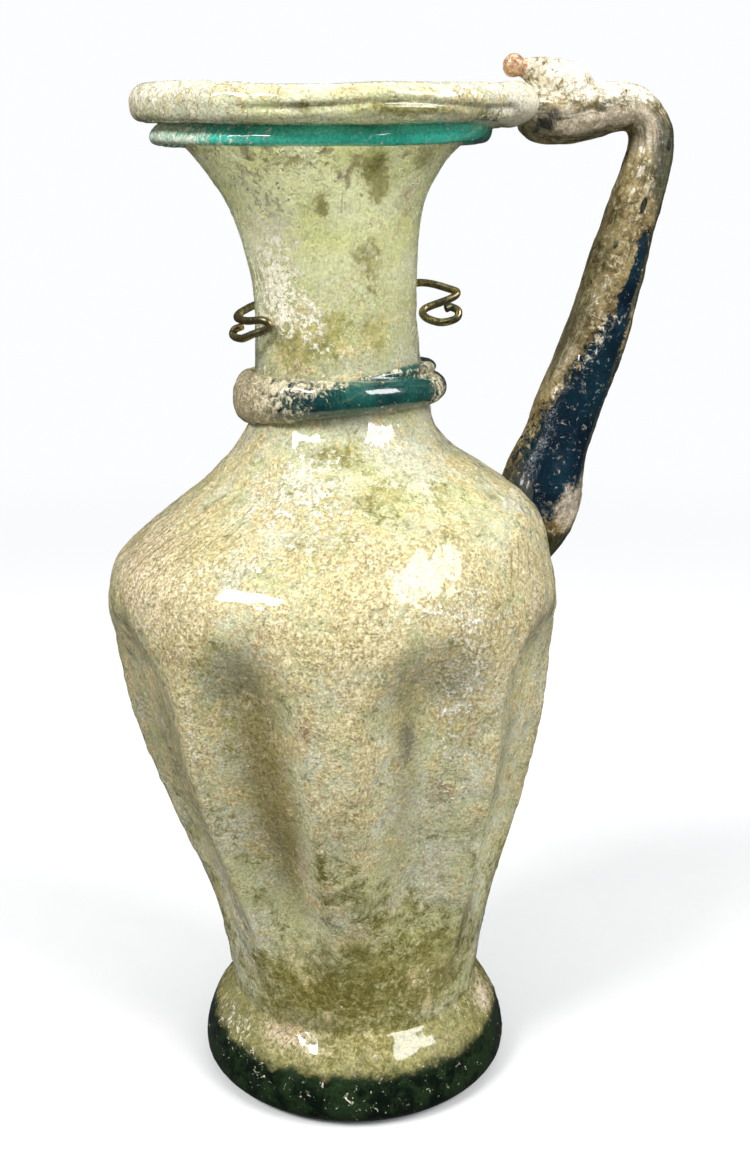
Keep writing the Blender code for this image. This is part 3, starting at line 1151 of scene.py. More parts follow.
    @staticmethod
    def turned(outline: np.ndarray, azimuths: np.ndarray) -> list[np.ndarray]:
        """The outline turned round the axis.

        Args:
            outline: Its points' radii and heights, one row each.
            azimuths: The angles at which it is set, in radians.

        Returns:
            The azimuths, radii and heights, each as (outline points, azimuths).
        """
        radii, around = np.meshgrid(outline[:, 0], azimuths, indexing="ij")
        heights = np.repeat(outline[:, 1:], len(azimuths), axis=1)
        return [around, radii, heights]

    def settle(self, azimuths: np.ndarray, radii: np.ndarray, heights: np.ndarray) -> np.ndarray:
        """Where the pressed, leaning glass has points of the plain turned shape.

        Args:
            azimuths: Angles round +Z in radians.
            radii: Distances from the axis.
            heights: Heights above the underside.

        Returns:
            The points, with x, y and z last.
        """
        near_wall = blend(radii, 0.3 * self.crease_radius, 0.8 * self.crease_radius)
        pressed = radii - self.press(azimuths, heights) * near_wall
        at_rim = blend(heights, self.neck_height + self.waves_above_neck,
                       self.mouth_height - self.waves_below_mouth)
        return np.stack([
            pressed * np.cos(azimuths) + self.lean(heights),
            pressed * np.sin(azimuths),
            heights + self.rim_wave(azimuths) * at_rim,
        ], axis=-1)

    def on_wall(self, azimuths: np.ndarray, heights: np.ndarray, stands: np.ndarray) -> np.ndarray:
        """Points that stand so far out of the wall, square to it."""
        radii, out = self.wall_spot(heights)
        return self.settle(azimuths, radii + out[..., 0] * stands, heights + out[..., 1] * stands)


@dataclass
class Piece:
    """One separate piece of the jug, made to the vessel's form and given its finish.

    Attributes:
        form: The vessel's form, which the other pieces take their places from.
        finish: The piece's finish.
    """

    form: VesselForm
    finish: ClassVar[OldGlass | OldBronze]

    def dress(self, piece: bpy.types.Object) -> None:
        """Gives the piece its finish."""
        piece.data.materials.append(self.finish.build())


@dataclass(frozen=True)
class Ground:
    """What the vessel's stains follow, at each point of its skin.

    Attributes:
        cloud: A broad noise.
        patchy: A middle noise.
        crumb: A small noise.
        body: 1 on the body, 0 on the neck and the rim.
    """

    cloud: np.ndarray
    patchy: np.ndarray
    crumb: np.ndarray
    body: np.ndarray


@dataclass(frozen=True)
class Stain:
    """Where a mask lies on the vessel: its patches, and how much of the ground it follows.

    Attributes:
        patches: Its soft spots.
        base: What it has everywhere.
        cloud: Weight of the broad noise.
        patchy: Weight of the middle noise.
        patchy_body: What the body adds to that weight.
        crumb: Weight of the small noise.
        body: What it has on the body.
    """

    patches: tuple[Patch, ...]
    base: float = 0.0
    cloud: float = 0.0
    patchy: float = 0.0
    patchy_body: float = 0.0
    crumb: float = 0.0
    body: float = 0.0

    def lie(self, skin: Skin, ground: Ground) -> np.ndarray:
        """How much of it lies at each point.

        Args:
            skin: The vessel's skin.
            ground: What the stains follow there.

        Returns:
            The mask's values.
        """
        total = skin.patches(self.patches) + self.base + self.body * ground.body
        total += self.cloud * ground.cloud + self.crumb * ground.crumb
        return total + (self.patchy + self.patchy_body * ground.body) * ground.patchy


@dataclass(frozen=True)
class Groove:
    """The open fold of the rim's rolled edge, in millimetres and degrees from the front.

    Attributes:
        turns: Where it starts and ends round the rim.
        height: Its height in front.
        rise: How much higher it gets in each degree.
        wave: How far it winds up and down.
        waves: How often it does so in one round.
        width: Half its width.
        depth: Its depth.
    """

    turns: Span = (-35.0, -10.0, 50.0, 62.0)
    height: float = 142.05
    rise: float = 0.012
    wave: float = 0.25
    waves: float = 7.0
    width: float = 0.42
    depth: float = 0.60

    def cut(self, skin: Skin) -> np.ndarray:
        """How deep it is cut into a skin.

        Args:
            skin: The vessel's skin.

        Returns:
            The depth at each point.
        """
        wave = self.wave * np.sin(np.radians(skin.turns * self.waves))
        middle = self.height + wave + self.rise * skin.turns
        profile = np.exp(-((skin.heights - middle) / self.width) ** 2)
        return self.depth * profile * swell(skin.turns, self.turns)


@dataclass
class Vessel(Piece):
    """The blown body, neck, folded rim and foot, hollow, with its weathered surface.

    Places on the skin are millimetres above the underside and degrees from the front.

    Attributes:
        around: Points round the vessel.
        outer_rows: Rows of the outer wall.
        inner_rows: Rows of the inner wall.
        roll_rows: Rows of the rolled edge.
        under_shares: The underside's rows, as shares of the foot's base.
        crispness: How much further the flutes are pressed in under their tops.
        flute_shade_rise: How far above the flutes their painted shade lies, in metres.
        flute_shade_press: The shares of a flute's depth between which the painted shade gets dark.
        twist: Degrees that the drawn glass turns in each millimetre.
        body_end: Where the body's stains end.
        shoulder: Where the drawn lines stand out.
        dull_neck: Where the crusted neck shines less.
        dulled: How much less it does there.
        body_clear: How clear the body is beside the neck.
        clear_foot: Where the glass gets clear above the foot's dark band.
        clear_neck: Where the neck's glass gets clearer than the body's.
        thick_rim: Where the rim's glass gets too thick to be clear.
        rim_dimmed: How much less clear it is there.
        uneven_rim: Where the rim's unevenness starts and is full.
        swollen_side: The turns at which the rim swells towards the handle.
        band_height: The dark band's height in front.
        band_rise: How much higher it is at the sides.
        band_sides: The turns between which it rises.
        band_edge: How far its soft edge reaches down and up.
        band_strength: The mask's value in the band.
        lift_from: Where the relief starts and is full, above the plane underside.
        cloud_lift: How far the broad noise stands out, like the next ones in millimetres.
        crumb_lift: How far the small noise stands out.
        crust_lift: How far the crust stands out.
        drawn_lifts: How far the drawn lines stand out, all over and more so on the shoulder.
        rim_lifts: How uneven the rim is, and how far it swells towards the handle.
        groove: The rim's open fold.
        chip: The chip in the rim, as deep as it is strong.
        crust_by_height: How much crust lies at each height.
        crust: The pale crust, and a painted light patch on the right flute's panel.
        flute_shade_patches: How dark the painted shade in each flute is.
        flute_shade_bare: How much less crust lies under that painted shade.
        blush: The pink tinge.
        striae: The fine brown lines.
        frost: The white flakes, and a painted light patch on the right flute's panel.
        olive: The olive stains, and painted shade in the groove under the rolled rim.
        deep: Darker olive where the glass is thick, and painted shade in the groove under the rim.
        blue_patches: The dark band's bluish glints.
        rust: The rust-brown spots.
        smoke: The grey spots, and painted shade low in the flutes.
        inner_crust: How much crust and frost the inside has.
    """

    finish: ClassVar[OldGlass] = PALE_GLASS
    around: int = 288
    outer_rows: int = 205
    inner_rows: int = 46
    roll_rows: int = 37
    under_shares: tuple[float, ...] = (0.9, 0.75, 0.55, 0.35, 0.15)
    crispness: float = 0.04
    flute_shade_rise: float = 0.0055
    flute_shade_press: Range = (0.05, 0.45)
    twist: float = 0.5
    body_end: Range = (98.0, 106.0)
    shoulder: Span = (60.0, 82.0, 96.0, 104.0)
    dull_neck: Span = (108.0, 114.0, 138.0, 141.0)
    dulled: float = 0.6
    body_clear: float = 0.25
    clear_foot: Range = (9.0, 13.0)
    clear_neck: Range = (92.0, 108.0)
    thick_rim: Range = (139.0, 142.0)
    rim_dimmed: float = 0.7
    uneven_rim: Range = (138.5, 142.0)
    swollen_side: Range = (45.0, 75.0)
    band_height: float = 7.4
    band_rise: float = 0.3
    band_sides: Range = (25.0, 75.0)
    band_edge: Range = (2.4, 2.8)
    band_strength: float = 1.35
    lift_from: Range = (0.2, 2.5)
    cloud_lift: float = 0.06
    crumb_lift: float = 0.05
    crust_lift: float = 0.10
    drawn_lifts: Range = (0.015, 0.06)
    rim_lifts: Range = (0.25, 0.45)
    groove: Groove = Groove()
    chip: Patch = Patch(52, 142.8, 2.6, 0.8, 0.5)
    flute_shade_bare: float = 0.40
    inner_crust: float = 0.05
    crust_by_height: Table = (
        (0.0, 0.05), (8.0, 0.0), (13.0, 0.08), (20.0, 0.18), (34.0, 0.34), (60.0, 0.50),
        (76.0, 0.60), (84.0, 0.58), (94.0, 0.46), (101.0, 0.34), (110.0, 0.20), (122.0, 0.08),
        (136.0, 0.10), (140.0, 0.36), (143.0, 0.42), (147.0, 0.46),
    )
    crust: Stain = Stain((
        Patch(-60, 87, 30, 8, 0.20), Patch(-45, 112, 22, 10, 0.14), Patch(25, 94, 22, 6, -0.25),
        Patch(40, 30, 22, 12, -0.15), Patch(-5, 20, 40, 5, -0.12), Patch(2, 68, 7, 22, 0.16),
        # Patch(30, 74) is painted light: it brightens the right flute's panel, which the lamps leave
        # dim.
        Patch(30, 74, 9, 10, 0.18), Patch(-40, 66, 5, 20, 0.16), Patch(-28, 12, 12, 2, 0.30),
        Patch(-60, 22, 18, 8, 0.12), Patch(75, 10, 14, 3, 0.3), Patch(60, 80, 20, 8, 0.12),
        # Patch(20, 141.6) clears the crust from the groove under the rolled rim, where shade is
        # painted.
        Patch(150, 60, 40, 30, 0.08), Patch(120, 118, 30, 10, 0.2), Patch(20, 141.6, 50, 1.0, -0.4),
    ), cloud=0.20, crumb=0.16)
    # Painted shade in the flutes, strongest in the two at the front.
    flute_shade_patches: tuple[Patch, ...] = (
        Patch(-25, 66, 9, 15, 0.50), Patch(-21, 47, 9, 18, 0.80), Patch(-32, 60, 16, 26, 0.26),
        Patch(13, 70, 7, 14, 0.55), Patch(16, 50, 8, 18, 0.48), Patch(-64, 56, 18, 30, 0.60),
        Patch(-117, 60, 12, 24, 0.7), Patch(-160, 60, 12, 24, 0.7), Patch(152, 60, 12, 24, 0.7),
        Patch(108, 60, 12, 24, 0.7), Patch(66, 60, 11, 24, 0.45),
    )
    blush: Stain = Stain((
        Patch(-66, 84, 22, 6, 0.50), Patch(-50, 78, 14, 5, 0.30), Patch(56, 76, 14, 10, 0.42),
        Patch(-70, 40, 20, 20, 0.25), Patch(-16, 41, 4, 8, 0.45), Patch(75, 144, 24, 3, 0.85),
        Patch(-72, 145, 22, 3, 0.80), Patch(76, 10.5, 12, 2, 0.80), Patch(-30, 11.5, 16, 1.8, 0.65),
        Patch(150, 85, 30, 10, 0.40), Patch(-140, 92, 30, 8, 0.35), Patch(10, 62, 5, 14, 0.15),
    ), cloud=0.10)
    striae: Stain = Stain((
        Patch(-70, 87, 26, 7, 0.52), Patch(-40, 90, 14, 5, 0.30), Patch(52, 78, 9, 10, 0.45),
        Patch(-55, 74, 10, 4, 0.35), Patch(38, 84, 10, 3, 0.25), Patch(0, 60, 25, 20, 0.10),
        Patch(150, 88, 40, 10, 0.4), Patch(-140, 86, 30, 8, 0.4),
    ), cloud=0.05)
    frost: Stain = Stain((
        Patch(-50, 120, 24, 9, 0.80), Patch(-30, 113, 18, 4, 0.54), Patch(-38, 111.6, 11, 2.6, -0.9),
        Patch(-20, 97, 15, 5, 0.62), Patch(12, 100.3, 7, 1.6, 0.95), Patch(26, 99, 5, 1.4, 0.75),
        Patch(-12, 91, 20, 6, 0.44), Patch(-30, 84, 14, 3, 0.50), Patch(45, 132, 14, 8, 0.35),
        Patch(-5, 72, 6, 8, 0.38), Patch(20, 81, 16, 3, 0.35), Patch(-62, 144, 26, 3, 0.70),
        Patch(160, 100, 40, 8, 0.4), Patch(110, 88, 30, 8, 0.35), Patch(-140, 80, 30, 20, 0.3),
        Patch(-1, 4.9, 3, 0.5, 0.20), Patch(-37, 6, 6, 1.3, 0.42), Patch(-60, 10, 22, 2.5, 0.52),
        Patch(64, 11, 14, 2.5, 0.40), Patch(0, 5, 90, 2.2, 0.12), Patch(0, 145.2, 80, 1.5, 0.80),
        # Patch(30, 72) is painted light on the right flute's panel, which the lamps leave dim.
        Patch(-46, 134, 16, 6, 0.2), Patch(66, 143, 22, 4, 1.3), Patch(30, 72, 9, 12, 0.66),
        Patch(27, 56, 5, 10, 0.40), Patch(28, 112, 16, 6, 0.15), Patch(-40, 62, 1.4, 24, 0.42),
        Patch(42, 62, 1.4, 24, 0.42), Patch(-40, 94, 12, 5, 0.30), Patch(0, 140.6, 60, 0.5, 0.5),
        Patch(-40, 124, 25, 12, 0.25),
    ), cloud=0.12)
    olive: Stain = Stain((
        Patch(9, 136, 10, 2, 1.00), Patch(14, 133, 8, 2, 0.98), Patch(-24, 136.4, 18, 1.6, 0.72),
        Patch(-16, 131, 4, 1.7, 1.10), Patch(10, 123.5, 14, 4.6, 0.94), Patch(-12, 115, 11, 5, 0.90),
        Patch(-37, 112, 15, 3.8, 1.25), Patch(16, 114, 13, 3.6, 1.05), Patch(38, 137, 10, 2, 0.85),
        Patch(-5, 18, 60, 5, 0.60), Patch(35, 26, 26, 8, 0.50), Patch(0, 99, 10, 2.5, 0.32),
        # Patch(16, 141.8) is painted shade in the groove under the rolled rim.
        Patch(25, 92, 26, 7, 0.20), Patch(16, 141.8, 45, 0.8, 0.58), Patch(-90, 30, 50, 12, 0.2),
        Patch(120, 25, 60, 10, 0.35), Patch(-160, 120, 40, 10, 0.35), Patch(-9, 42, 2.5, 9, 0.45),
        Patch(-30, 70, 12, 3, 0.25), Patch(0, 30, 14, 8, 0.25), Patch(100, 130, 25, 6, 0.35),
    ), base=0.04, patchy=0.10, patchy_body=0.38, body=0.26)
    deep: Stain = Stain((
        Patch(0, 8.5, 400, 4.6, 1.15), Patch(-8, 20, 44, 7, 0.50), Patch(38, 26, 24, 12, 0.14),
        Patch(8, 34, 12, 9, 0.40), Patch(26, 92, 22, 6, 0.14), Patch(0, 99, 30, 3, 0.08),
        Patch(-22, 19, 24, 7, 0.30), Patch(-4, 90, 12, 6, 0.08),
        # Patch(22, 141.8) and Patch(-40, 140.6) are painted shade in the groove under the rim.
        Patch(22, 141.8, 40, 0.8, 0.95), Patch(-40, 140.6, 30, 0.5, 0.4), Patch(-9, 40, 2, 6, 0.5),
        Patch(-20, 113, 9, 2.5, 0.35), Patch(14, 136, 6, 1.0, 0.25), Patch(8, 123, 5, 1.5, 0.25),
        Patch(150, 20, 60, 8, 0.35),
    ), patchy=-0.12, body=0.24)
    blue_patches: tuple[Patch, ...] = (
        Patch(-92, 6, 14, 4, 0.5), Patch(88, 7, 10, 4, 0.5),
    )
    rust: Stain = Stain((
        Patch(34, 62, 4, 2.5, 0.55), Patch(27, 53, 6, 4, 0.55), Patch(-41, 74, 5, 3, 0.45),
        Patch(-80, 62, 12, 10, 0.40), Patch(-16, 42, 3.5, 7, 0.30), Patch(-20, 78, 8, 2.5, 0.42),
        Patch(-62, 80, 18, 4, 0.30), Patch(30, 145.5, 20, 0.8, 0.45), Patch(42, 78, 7, 4, 0.40),
        Patch(-10, 66, 3, 5, 0.38), Patch(140, 70, 12, 10, 0.3), Patch(-130, 50, 12, 12, 0.3),
        Patch(-28, 12, 9, 1.6, 0.45), Patch(80, 9.5, 8, 2, 0.35), Patch(-34, 108.5, 10, 2, 0.40),
        Patch(-40, 12, 6, 6, 0.25),
    ), patchy=-0.12)
    # Grey spots; the patches at -24, 55, -150 and 100 degrees are painted shade in the flutes.
    smoke: Stain = Stain((
        Patch(15, 62, 3.5, 4.5, 0.70), Patch(-24, 66, 6, 12, 0.30), Patch(-24, 46, 5, 12, 0.30),
        Patch(55, 64, 7, 8, 0.35), Patch(-60, 11, 14, 2.5, 0.35), Patch(52, 142.8, 2.4, 0.7, 1.2),
        Patch(-150, 66, 8, 14, 0.3), Patch(100, 60, 8, 10, 0.3), Patch(-36, 109.5, 8, 2, 0.35),
    ))

    def build(self) -> bpy.types.Object:
        """Turns the outline, presses and settles it, then weathers the skin.

        Returns:
            The vessel's piece.
        """
        form = self.form
        under = [(form.foot_base_radius * share, 0.0) for share in self.under_shares]
        inside = evened(form.inner_line(), self.inner_rows)
        wall = evened(form.wall_line[::-1], self.outer_rows)[3:]
        outline = np.vstack([inside, form.roll_arc(self.roll_rows), wall, form.foot_line(), under])
        outside = np.ones(len(outline))
        outside[:len(inside)] = 0.0
        outside[-len(under):] = 0.0
        azimuths, radii, heights = form.turned(outline, circle(self.around, radians(FRONT)))
        piece = lofted("jug_vessel", form.settle(azimuths, radii, heights))
        travel = np.repeat(lengths_along(outline) / MM, self.around)
        outside = np.repeat(outside, self.around)
        self.weather(piece, outside, azimuths.ravel(), heights.ravel(), travel)
        return piece

    def weather(self, piece: bpy.types.Object, outside: np.ndarray, azimuths: np.ndarray,
                heights: np.ndarray, travel: np.ndarray) -> None:
        """Keeps the skin's masks and gives it its relief.

        Args:
            piece: The vessel's piece.
            outside: 1 for the points of the outer faces, 0 for the others.
            azimuths: Each point's angle in the turned shape.
            heights: Each point's height in the turned shape.
            travel: How far each point is along the outline, in millimetres.
        """
        skin = Skin(piece)
        ends = np.zeros(len(skin.heights) - len(outside))
        outside, azimuths, heights, travel = (
            np.concatenate([values, ends]) for values in (outside, azimuths, heights, travel))

        spun = azimuths + np.radians(self.twist * travel)
        ring = self.form.shoulder_radius / MM
        flow = np.stack([np.cos(spun) * ring, np.sin(spun) * ring, travel], axis=-1)
        skin.keep_flow(flow)
        ground = Ground(
            cloud=skin.grain(size=9.0, octaves=3, seed=7.7),
            patchy=skin.grain(size=6.0, octaves=4, seed=12.9),
            crumb=skin.grain(size=2.4, octaves=4, seed=1.3),
            body=1 - blend(skin.heights, *self.body_end),
        )

        # Painted shade in the flutes: a mask a little above where each flute is pressed deepest,
        # dark in the given patches, with less crust under it.
        pressed = self.form.press(azimuths, heights - self.flute_shade_rise) / self.form.flute_depth
        hollow = blend(pressed, *self.flute_shade_press) * skin.patches(self.flute_shade_patches)
        skin.keep(Mask.FLUTE_SHADE, hollow * outside)
        crust = read(self.crust_by_height, skin.heights) + self.crust.lie(skin, ground)
        crust -= self.flute_shade_bare * np.minimum(hollow, 1.0)
        skin.keep(Mask.CRUST, np.where(outside > 0, crust, self.inner_crust))
        frost = self.frost.lie(skin, ground)
        skin.keep(Mask.FROST, np.where(outside > 0, frost, self.inner_crust))
        for mask, stain in (
                (Mask.OLIVE, self.olive), (Mask.DEEP_AND_SHADE, self.deep), (Mask.RUST, self.rust),
                (Mask.SMOKE, self.smoke), (Mask.BLUSH, self.blush), (Mask.STRIAE, self.striae)):
            skin.keep(mask, stain.lie(skin, ground) * outside)
        # The foot's dark band: thick glass, and the painted dark reflection of a black stand.
        bottle = self.bottle_and_reflection_mask(skin)
        skin.keep(Mask.BOTTLE_AND_REFLECTION, bottle)
        skin.keep(Mask.BLUE, bottle * skin.patches(self.blue_patches))
        clear = blend(skin.heights, *self.clear_neck)
        clear = self.body_clear + (1 - self.body_clear) * clear
        clear *= blend(skin.heights, *self.clear_foot)
        clear *= 1 - self.rim_dimmed * blend(skin.heights, *self.thick_rim)
        skin.keep(Mask.CLEAR, clear)
        skin.keep(Mask.SHINE, outside * (1 - self.dulled * swell(skin.heights, self.dull_neck)))

        drawn = skin.grain(size=1.6, octaves=3, seed=3.1, at=flow * (1.0, 1.0, 0.12))
        lift = self.relief(skin, ground, drawn, crust + frost)
        lift -= self.crisp_tops(azimuths, heights)
        settled = outside * blend(skin.heights, *self.lift_from)
        skin.stand_out(lift * settled)

    def bottle_and_reflection_mask(self, skin: Skin) -> np.ndarray:
        """The foot's lower band, near black green: thick bare glass and a painted dark reflection
        of a black stand under it.

        Args:
            skin: The vessel's skin.

        Returns:
            The mask at each point.
        """
        edge = self.band_height + self.band_rise * blend(np.abs(skin.turns), *self.band_sides)
        below, above = self.band_edge
        return self.band_strength * (1 - blend(skin.heights - edge, -below, above))

    def crisp_tops(self, azimuths: np.ndarray, heights: np.ndarray) -> np.ndarray:
        """How much further the flutes are pressed in just under their round tops.

        Args:
            azimuths: Each point's angle in the turned shape.
            heights: Each point's height in the turned shape.

        Returns:
            The depths in millimetres.
        """
        form = self.form
        lower = form.press(azimuths, heights - 0.6 * form.flute_arch)
        gain = np.maximum(0.0, lower - form.press(azimuths, heights))
        return self.crispness * gain / MM

    def relief(self, skin: Skin, ground: Ground, drawn: np.ndarray,
               crust: np.ndarray) -> np.ndarray:
        """The skin's relief: hand-made unevenness, crust, striations and the rim's fold.

        Args:
            skin: The vessel's skin.
            ground: What the stains follow there.
            drawn: Noise along the drawn glass.
            crust: Where crust lies.

        Returns:
            How far each point stands out, in millimetres.
        """
        crusted = blend(crust + 0.5 * ground.crumb, 0.45, 0.75)
        lift = self.cloud_lift * ground.cloud + self.crumb_lift * ground.crumb
        lift += self.crust_lift * crusted
        all_over, on_shoulder = self.drawn_lifts
        lift += drawn * (all_over + on_shoulder * swell(skin.heights, self.shoulder))
        uneven, swollen = self.rim_lifts
        around = uneven * skin.grain(size=14.0, octaves=2, seed=6.1)
        around += swollen * blend(skin.turns, *self.swollen_side)
        lift += around * blend(skin.heights, *self.uneven_rim)
        return lift - self.groove.cut(skin) - self.chip.cover(skin.turns, skin.heights)


@dataclass
class RimTrail(Piece):
    """The turquoise thread wound into the corner under the rolled rim.

    Attributes:
        width: Its width, in metres like its other sizes.
        stand: How far it stands out.
        sag: How far it sags at the sides.
        around: Sections round the vessel.
        sides: Points of a section's outer side.
    """

    finish: ClassVar[OldGlass] = TURQUOISE_GLASS
    width: float = 0.0023
    stand: float = 0.0022
    sag: float = 0.0004
    around: int = 288
    sides: int = 16
    crust_patches: tuple[Patch, ...] = (
        Patch(-66, 140, 30, 20, 1.0), Patch(-30, 141.2, 14, 1.0, 0.25),
        Patch(150, 143, 40, 20, 0.4), Patch(-140, 143, 40, 20, 0.5),
    )
    smoke_patches: tuple[Patch, ...] = (Patch(60, 141, 8, 20, 0.5),)

    def build(self) -> bpy.types.Object:
        """Lays the thread's sections round the vessel.

        Returns:
            The trail's piece.
        """
        form = self.form
        azimuths = circle(self.around, radians(FRONT))
        turns = azimuths - radians(FRONT)
        left = 0.5 - 0.5 * np.sin(turns)
        swelling = 1 + 0.06 * np.sin(3 * azimuths) + 0.05 * np.sin(5 * azimuths + 1) + 0.12 * left
        half = 0.36 * self.width * (1 + 0.15 * left)
        height = form.mouth_height - 0.40 * form.roll_radius - 0.72 * self.width
        middle = height - self.sag * np.sin(turns) ** 2
        rows = trail_rows(form, azimuths, middle, half, self.stand * swelling, self.sides)
        piece = lofted("jug_rim_trail", rows, looped=True)
        skin = Skin(piece)
        cloud = skin.grain(size=5.0, octaves=3, seed=4.4)
        crumb = skin.grain(size=1.8, octaves=4, seed=2.2)
        crust = skin.patches(self.crust_patches) + 0.10 * cloud
        skin.keep(Mask.CRUST, crust)
        skin.keep(Mask.SMOKE, skin.patches(self.smoke_patches))
        skin.keep(Mask.CLEAR, 1.0)
        skin.keep(Mask.SHINE, 1.0)
        skin.keep_flow(skin.places / MM)
        skin.stand_out(0.08 * cloud + (0.08 + 0.08 * crumb) * blend(crust, 0.3, 0.6))
        return piece


# How full a laid thread's section is: 1 is an oval, and less is fuller
TRAIL_FULLNESS = 0.8
# The points of its flat back, as shares of its half width
TRAIL_BACK = (0.75, 0.375, 0.0, -0.375, -0.75)


def trail_rows(form: VesselForm, azimuths: np.ndarray, middles: np.ndarray, halves: np.ndarray,
               stands: np.ndarray, sides: int) -> np.ndarray:
    """Sections of a thread laid on the wall: round outside, and following it behind.

    Args:
        form: The vessel that carries it.
        azimuths: Where the sections are.
        middles: Each section's middle height.
        halves: Each section's half width.
        stands: How far each section stands out.
        sides: Points of a section's outer side, less one.

    Returns:
        The points as (sections, points, 3).
    """
    turns = pi * np.arange(sides + 1) / sides
    out = GAP + stands[:, None] * np.sin(turns) ** TRAIL_FULLNESS
    heights = middles[:, None] - halves[:, None] * np.cos(turns)
    back = np.array(TRAIL_BACK)
    out = np.hstack([out, np.full((len(azimuths), len(back)), GAP)])
    heights = np.hstack([heights, middles[:, None] + halves[:, None] * back])
    angles = np.repeat(azimuths[:, None], heights.shape[1], axis=1)
    return form.on_wall(angles, heights, out)


@dataclass
class NeckTrail(Piece):
    """The dark thread at the neck's root, its end run on over its start as a thin tail.

    Attributes:
        drop: How far its middle lies under the neck's waist, in metres like its other sizes.
        width: Its width.
        stand: How far it stands out.
        tail_width: The tail's width.
        tail_stand: How far the tail stands out.
        tail_start: Where the tail starts, in degrees from the front.
        tail_end: Where it ends.
        around: Sections of the ring.
        sides: Points of its section's outer side.
        tail_rows: Sections of the tail.
        tail_sides: Points of its section's outer side.
        voxel: Size of the cells in which ring and tail are melted.
    """

    finish: ClassVar[OldGlass] = DARK_GLASS
    drop: float = 0.0128
    width: float = 0.0043
    stand: float = 0.0026
    tail_width: float = 0.0020
    tail_stand: float = 0.0018
    tail_start: float = 14.0
    tail_end: float = 168.0
    around: int = 200
    sides: int = 20
    tail_rows: int = 90
    tail_sides: int = 12
    voxel: float = 0.00020
    crust_patches: tuple[Patch, ...] = (
        Patch(-66, 105, 36, 20, 1.10), Patch(-14, 107.5, 14, 1.2, 0.45),
        Patch(62, 107, 14, 20, 0.55), Patch(24, 104, 8, 1.2, 0.45), Patch(30, 109, 40, 0.8, 0.45),
        Patch(-140, 105, 50, 20, 0.6), Patch(130, 107, 40, 20, 0.45),
    )
    smoke_patches: tuple[Patch, ...] = (
        Patch(-30, 105, 20, 20, 0.35), Patch(50, 105, 18, 20, 0.30),
    )

    def size_at(self, azimuths: np.ndarray) -> tuple[np.ndarray, np.ndarray, np.ndarray]:
        """How the thread lies and how thick it is: it is thick at the left.

        Args:
            azimuths: Where it is read, in radians.

        Returns:
            Its middle heights, half widths and stands.
        """
        left = 0.5 - 0.5 * np.sin(azimuths - radians(FRONT))
        half = 0.5 * self.width * (1 + 0.68 * left ** 2)
        middle = self.form.neck_height - self.drop + 0.0013 * (1 - left)
        return middle, half, self.stand * (1.08 - 0.12 * left)

    def build(self) -> bpy.types.Object:
        """Lays the ring and its tail on the vessel and melts them together.

        Returns:
            The trail's piece.
        """
        azimuths = circle(self.around)
        rows = trail_rows(self.form, azimuths, *self.size_at(azimuths), self.sides)
        ring = lofted("jug_neck_trail", rows, looped=True)
        share = np.linspace(0.0, 1.0, self.tail_rows)
        turns = radians(self.tail_end - self.tail_start) * share
        azimuths = radians(FRONT + self.tail_start) + turns
        middle, half, _ = self.size_at(azimuths)
        thick = np.minimum(1.0, np.minimum(0.25 + 2.5 * share, 0.35 + 4 * (1 - share)))
        above = half + 0.5 * self.tail_width * (0.2 + 0.5 * np.minimum(1.0, 5 * share))
        above -= 0.5 * self.width * blend(share, 0.62, 1.0)
        rows = trail_rows(self.form, azimuths, middle + above, 0.5 * self.tail_width * thick,
                          self.tail_stand * thick, self.tail_sides)
        piece = fused([ring, lofted("tail", rows)], self.voxel, smoothing=3)
        skin = Skin(piece)
        cloud = skin.grain(size=5.0, octaves=3, seed=9.1)
        crumb = skin.grain(size=1.8, octaves=4, seed=5.2)
        crust = skin.patches(self.crust_patches) + 0.10 * cloud
        skin.keep(Mask.CRUST, crust)
        skin.keep(Mask.SMOKE, skin.patches(self.smoke_patches))
        skin.keep(Mask.CLEAR, 1.0)
        skin.keep(Mask.SHINE, 1.0)
        skin.keep_flow(skin.places / MM)
        skin.stand_out(0.10 * cloud + (0.10 + 0.12 * crumb) * blend(crust, 0.35, 0.7))
        return piece


